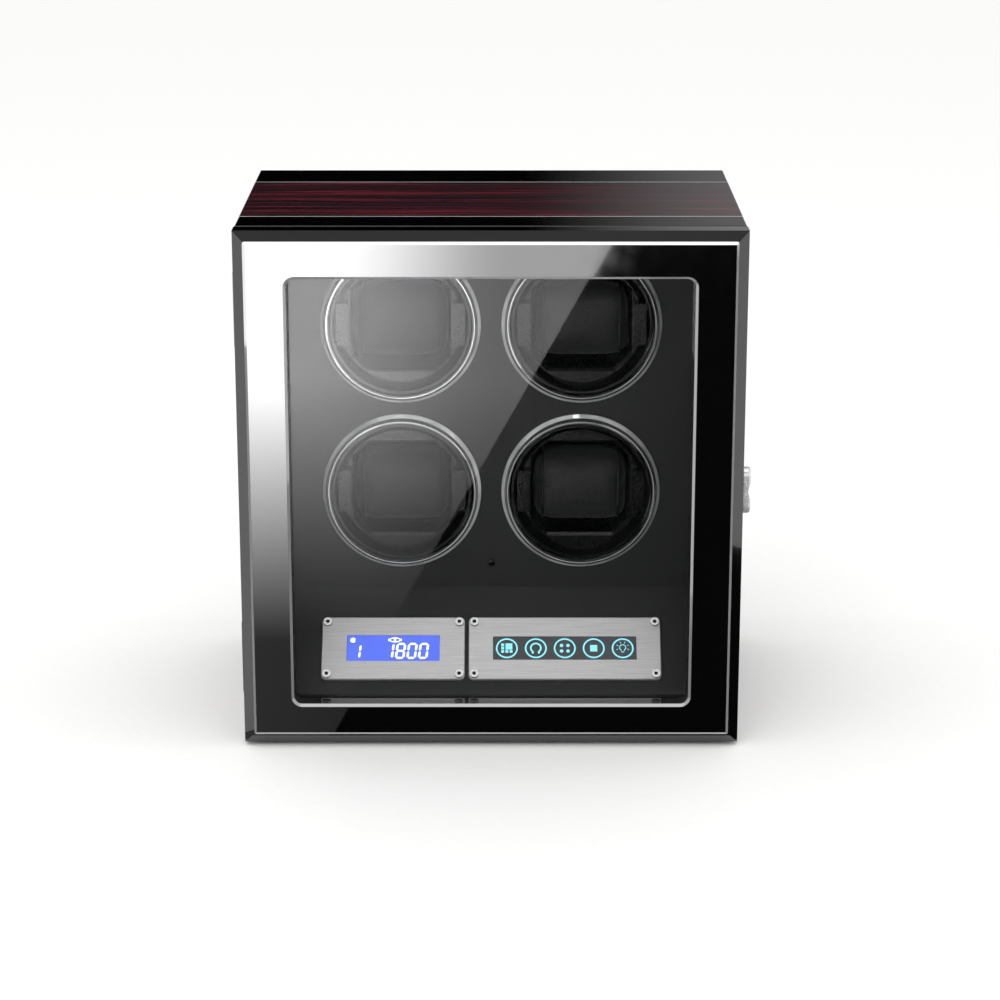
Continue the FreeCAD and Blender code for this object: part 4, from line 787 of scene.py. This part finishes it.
class WINDER_OT_keys(bpy.types.Operator):
    """Five lit ring signs on the touch strip"""
    bl_idname = "winder.keys"
    bl_label = "Touch keys"

    # Width of a key's ring in millimetres, and the key in the middle of the strip
    RING_STROKE = 0.95
    MIDDLE_KEY = 2

    def signs(self, low, high):
        """The sign inside each ring, in millimetres: squares, a turning arrow, dots, a stop and a bulb."""
        def square(x, y, half):
            """A square pad round a middle."""
            return pad([(x - half, y - half), (x + half, y - half),
                        (x + half, y + half), (x - half, y + half)], low, high)

        bulb = np.concatenate([[(0.9, -1.7)], arc((0, 0.5), 1.9, -55, 235, 24), [(-0.9, -1.7)]])
        rays = [np.array((np.cos(t), np.sin(t))) for t in np.radians(np.arange(-20, 201, 44))]
        lamp = np.array((0, 0.5))
        turn = arc((0, 0.2), 3.1, -60, 240, 44)
        small = [(-2.6, 2.3), (-2.6, 0.1), (-2.6, -2.2), (0, -2.2), (2.6, -2.2)]
        return [
            [square(x, y, 0.9) for x, y in small] + [square(1.3, 1.2, 2.1)],
            [stroke(turn, 1.0, low, high), square(-1.9, -3.0, 0.6), square(1.9, -3.0, 0.6)],
            [pad(arc((x, y), 1.1, 0, 345, 24), low, high) for x in (-2.0, 2.0) for y in (-1.9, 1.9)],
            [square(0, 0, 2.2)],
            [stroke(bulb, 0.5, low, high), stroke([(-0.9, -2.5), (0.9, -2.5)], 0.5, low, high)]
            + [stroke([lamp + 3.0 * ray, lamp + 4.1 * ray], 0.4, low, high) for ray in rays],
        ]

    def execute(self, context):
        chosen = sizes()
        low = -SUNK / MM
        high = low + chosen.ink / MM
        shapes = []
        for index, sign in enumerate(self.signs(low, high)):
            ring = arc((0, 0), chosen.key_radius / MM, 0, 354, 60)
            ring = stroke(ring, self.RING_STROKE, low, high, closed=True)
            for points, faces in sign + [ring]:
                shapes.append((points * MM + ((index - self.MIDDLE_KEY) * chosen.key_pitch, 0, 0), faces))
        points, faces = joined(shapes)
        # Translucent print over light emitting diodes: a cyan glow, a little uneven
        glow = lit_finish("lit_key_signs", linear("#BFEAF2"), colours().key, 1.3, 8.0, 0.12)
        points = on_slope(points, face_middle("touch_panel"))
        piece("touch_key_signs", points, faces, glow, "cabinet", False)
        return {"FINISHED"}


class WINDER_OT_stage(bpy.types.Operator):
    """Floor, reflection cards, light and camera"""
    bl_idname = "winder.stage"
    bl_label = "Stage"

    FLOOR_HALF, FLOOR_LEVEL = 8.0, -0.4 * MM
    # Reflection cards on the floor lie this far above it
    LIFT = 1 * MM
    # The front card's corners, its glow and its slanted edge; the glow grows from near the box to far
    # from it, and falls from left to right
    FRONT_CARD = ((-0.335, -1.95), (0.8, -1.95), (0.45, -0.1045), (-0.165, -0.1045))
    FRONT_GLOW = 12.0
    EDGE_SLANT, EDGE_PLACE = 0.1496, -0.1157
    NEAR, FAR, NEAR_SHARE, FALL_POWER = -0.30, -1.0, 0.06, 1.35
    LEFT, RIGHT, RIGHT_SHARE = -0.20, 0.02, 0.32
    # Upright cards: half width, place from front to back, lowest and highest level; a half width below zero
    # turns the card's face to the back
    REAR_CARD = (1.2, 0.6, 0.33, 1.1)
    FRONT_FLAG = (-1.4, -1.2, 0.85, 1.7)
    FLAG_GLOW = 0.33
    # Where the rear card's glow begins and is full, from the middle to the right, and its full strength
    REAR_START, REAR_END, REAR_GLOW = 0.02, 0.23, 0.3
    # Dark cards beside the box: nearest and farthest from the middle, and their two other edges
    SIDE_CARDS = {"left_card": (-0.16, -1.2), "right_card": (0.16, 1.7)}
    SIDE_EDGES = (-0.104, 0.14)
    # Strength of the white world as light; the camera, mirrors and clear things see full white
    DIFFUSE_LEVEL = 0.97
    # Each lamp's place, the point it aims at, its width and its power
    LAMPS = {
        "overhead_softbox": ((-0.2, -0.5, 1.9), (0, 0, 0.1), 1.4, 7.0),
        "front_softbox": ((-0.5, -2.2, 1.5), (0, 0, 0.15), 1.2, 9.0),
    }
    EYE, PITCH = (0.0054, -1.716, 0.631), 16.40
    LENS, SENSOR, VIEW_END = 101.95, 36.0, 50.0

    def sheet(self, name, corners, material):
        """A flat four-cornered sheet of the studio."""
        mesh = bpy.data.meshes.new(name)
        mesh.from_pydata(corners, [], [(0, 1, 2, 3)])
        mesh.materials.append(material)
        made = bpy.data.objects.new(name, mesh)
        bpy.context.scene.collection.objects.link(made)
        return made

    def only_mirrored(self, made):
        """A card that polished surfaces reflect and that casts no light or shadow."""
        made.visible_camera = False
        made.visible_diffuse = False
        made.visible_transmission = False
        made.visible_volume_scatter = False
        made.visible_shadow = False

    def flag(self, name, strength=0.0):
        """Black card that reflects nothing and may glow white."""
        return surface(name, Base_Color=BLACK, Roughness=1.0, Specular_IOR_Level=0.0, Emission_Color=WHITE,
                       Emission_Strength=strength)

    def upright(self, half, depth, low, high):
        """Corners of an upright card that stands across the view."""
        return [(-half, depth, low), (half, depth, low), (half, depth, high), (-half, depth, high)]

    def card_finish(self):
        """A softbox with a slanted edge: its glow falls off towards the box and to the right."""
        material, tree, shader, place = self.flag("reflection_card")
        axes = add(tree, "ShaderNodeSeparateXYZ", {"Vector": place}).outputs
        edge = add(tree, MATH, {0: axes["Y"], 1: self.EDGE_SLANT, 2: axes["X"]},
                   operation="MULTIPLY_ADD").outputs[0]
        inside = add(tree, MATH, {0: edge, 1: self.EDGE_PLACE}, operation="LESS_THAN").outputs[0]
        far = add(tree, MAP, {"Value": axes["Y"], "From Min": self.NEAR, "From Max": self.FAR,
                              "To Min": self.NEAR_SHARE}).outputs[0]
        far = add(tree, MATH, {0: far, 1: self.FALL_POWER}, operation="POWER").outputs[0]
        left = add(tree, MAP, {"Value": axes["X"], "From Min": self.LEFT, "From Max": self.RIGHT,
                               "To Min": 1.0, "To Max": self.RIGHT_SHARE},
                   interpolation_type="SMOOTHSTEP").outputs[0]
        glow = add(tree, MATH, {0: far, 1: left}, operation="MULTIPLY").outputs[0]
        glow = add(tree, MATH, {0: glow, 1: inside}, operation="MULTIPLY").outputs[0]
        strength = add(tree, MATH, {0: glow, 1: self.FRONT_GLOW}, operation="MULTIPLY").outputs[0]
        tree.links.new(strength, shader.inputs["Emission Strength"])
        return material

    def rear_finish(self):
        """A black flag behind the box that turns into a softbox at its right end."""
        material, tree, shader, place = self.flag("rear_softbox")
        across = add(tree, "ShaderNodeSeparateXYZ", {"Vector": place}).outputs["X"]
        glow = add(tree, MAP, {"Value": across, "From Min": self.REAR_START, "From Max": self.REAR_END,
                               "To Max": self.REAR_GLOW}, interpolation_type="SMOOTHSTEP").outputs[0]
        tree.links.new(glow, shader.inputs["Emission Strength"])
        return material

    def execute(self, context):
        scene = context.scene
        scene.view_settings.view_transform = "Standard"
        half, level = self.FLOOR_HALF, self.FLOOR_LEVEL
        # White background paper: matt, with hardly any variation
        paper = plain_finish("white_paper_floor", "#FDFDFC", (0.8, 0.9), 5.0, 0, shift=0.01)
        self.sheet("floor", [(-half, -half, level), (half, -half, level), (half, half, level),
                             (-half, half, level)], paper)
        front = [(x, y, self.LIFT) for x, y in self.FRONT_CARD]
        self.only_mirrored(self.sheet("front_card", front, self.card_finish()))
        self.only_mirrored(self.sheet("rear_card", self.upright(*self.REAR_CARD), self.rear_finish()))
        dark = self.flag("black_flag")[0]
        low, high = self.SIDE_EDGES
        for name, (near, far) in self.SIDE_CARDS.items():
            corners = [(x, y, self.LIFT) for x, y in ((near, low), (far, low), (far, high), (near, high))]
            self.only_mirrored(self.sheet(name, corners, dark))
        grey = self.flag("grey_flag", self.FLAG_GLOW)[0]
        self.only_mirrored(self.sheet("front_flag", self.upright(*self.FRONT_FLAG), grey))
        world = bpy.data.worlds.new("studio")
        scene.world = world
        world.use_nodes = True
        tree = world.node_tree
        tree.nodes.clear()
        path = add(tree, "ShaderNodeLightPath").outputs
        seen = add(tree, MATH, {0: path["Is Camera Ray"], 1: path["Is Glossy Ray"]},
                   operation="MAXIMUM").outputs[0]
        seen = add(tree, MATH, {0: seen, 1: path["Is Transmission Ray"]}, operation="MAXIMUM").outputs[0]
        level = add(tree, MAP, {"Value": seen, "To Min": self.DIFFUSE_LEVEL, "To Max": 1.0}).outputs[0]
        back = add(tree, "ShaderNodeBackground", {"Strength": level, "Color": WHITE})
        add(tree, "ShaderNodeOutputWorld", {"Surface": back.outputs[0]})
        for name, (spot, aim, width, power) in self.LAMPS.items():
            lamp = bpy.data.lights.new(name, "AREA")
            lamp.size = width
            lamp.energy = power
            holder = bpy.data.objects.new(name, lamp)
            holder.location = spot
            toward = np.array(aim) - np.array(spot)
            holder.rotation_euler = Vector(toward).to_track_quat("-Z", "Y").to_euler()
            scene.collection.objects.link(holder)
        camera = bpy.data.cameras.new("camera")
        camera.sensor_width = self.SENSOR
        camera.lens = self.LENS
        camera.clip_end = self.VIEW_END
        eye = bpy.data.objects.new("camera", camera)
        eye.location = self.EYE
        eye.rotation_euler = (math.radians(90 - self.PITCH), 0, 0)
        scene.collection.objects.link(eye)
        scene.camera = eye
        return {"FINISHED"}


class WINDER_PT_panel(bpy.types.Panel):
    """Pieces, sizes and colours of the winder box"""
    bl_idname = "WINDER_PT_panel"
    bl_label = "Watch winder box"
    bl_space_type = "VIEW_3D"
    bl_region_type = "UI"
    bl_category = "Winder"

    def draw(self, context):
        winder = context.scene.winder
        for operator in OPERATORS:
            self.layout.operator(operator.bl_idname)
        self.layout.prop(winder, "digits_small")
        self.layout.prop(winder, "digits_large")
        for group in (winder.sizes, winder.colours):
            for name in group.__annotations__:
                self.layout.prop(group, name)


OPERATORS = (WINDER_OT_cabinet, WINDER_OT_door, WINDER_OT_inside, WINDER_OT_pillows, WINDER_OT_digits,
             WINDER_OT_keys, WINDER_OT_stage)
CLASSES = (WinderSizes, WinderColours, WinderSettings, *OPERATORS, WINDER_PT_panel)


def register():
    """Makes the classes and the settings known to Blender."""
    for made in CLASSES:
        bpy.utils.register_class(made)
    bpy.types.Scene.winder = PointerProperty(type=WinderSettings)


def unregister():
    """Takes the settings and the classes away again."""
    del bpy.types.Scene.winder
    for made in reversed(CLASSES):
        bpy.utils.unregister_class(made)


def main():
    """Runs every operator."""
    register()
    bpy.ops.winder.cabinet()
    bpy.ops.winder.door()
    bpy.ops.winder.inside()
    bpy.ops.winder.pillows()
    bpy.ops.winder.digits()
    bpy.ops.winder.keys()
    bpy.ops.winder.stage()


if __name__ == "__main__":
    main()
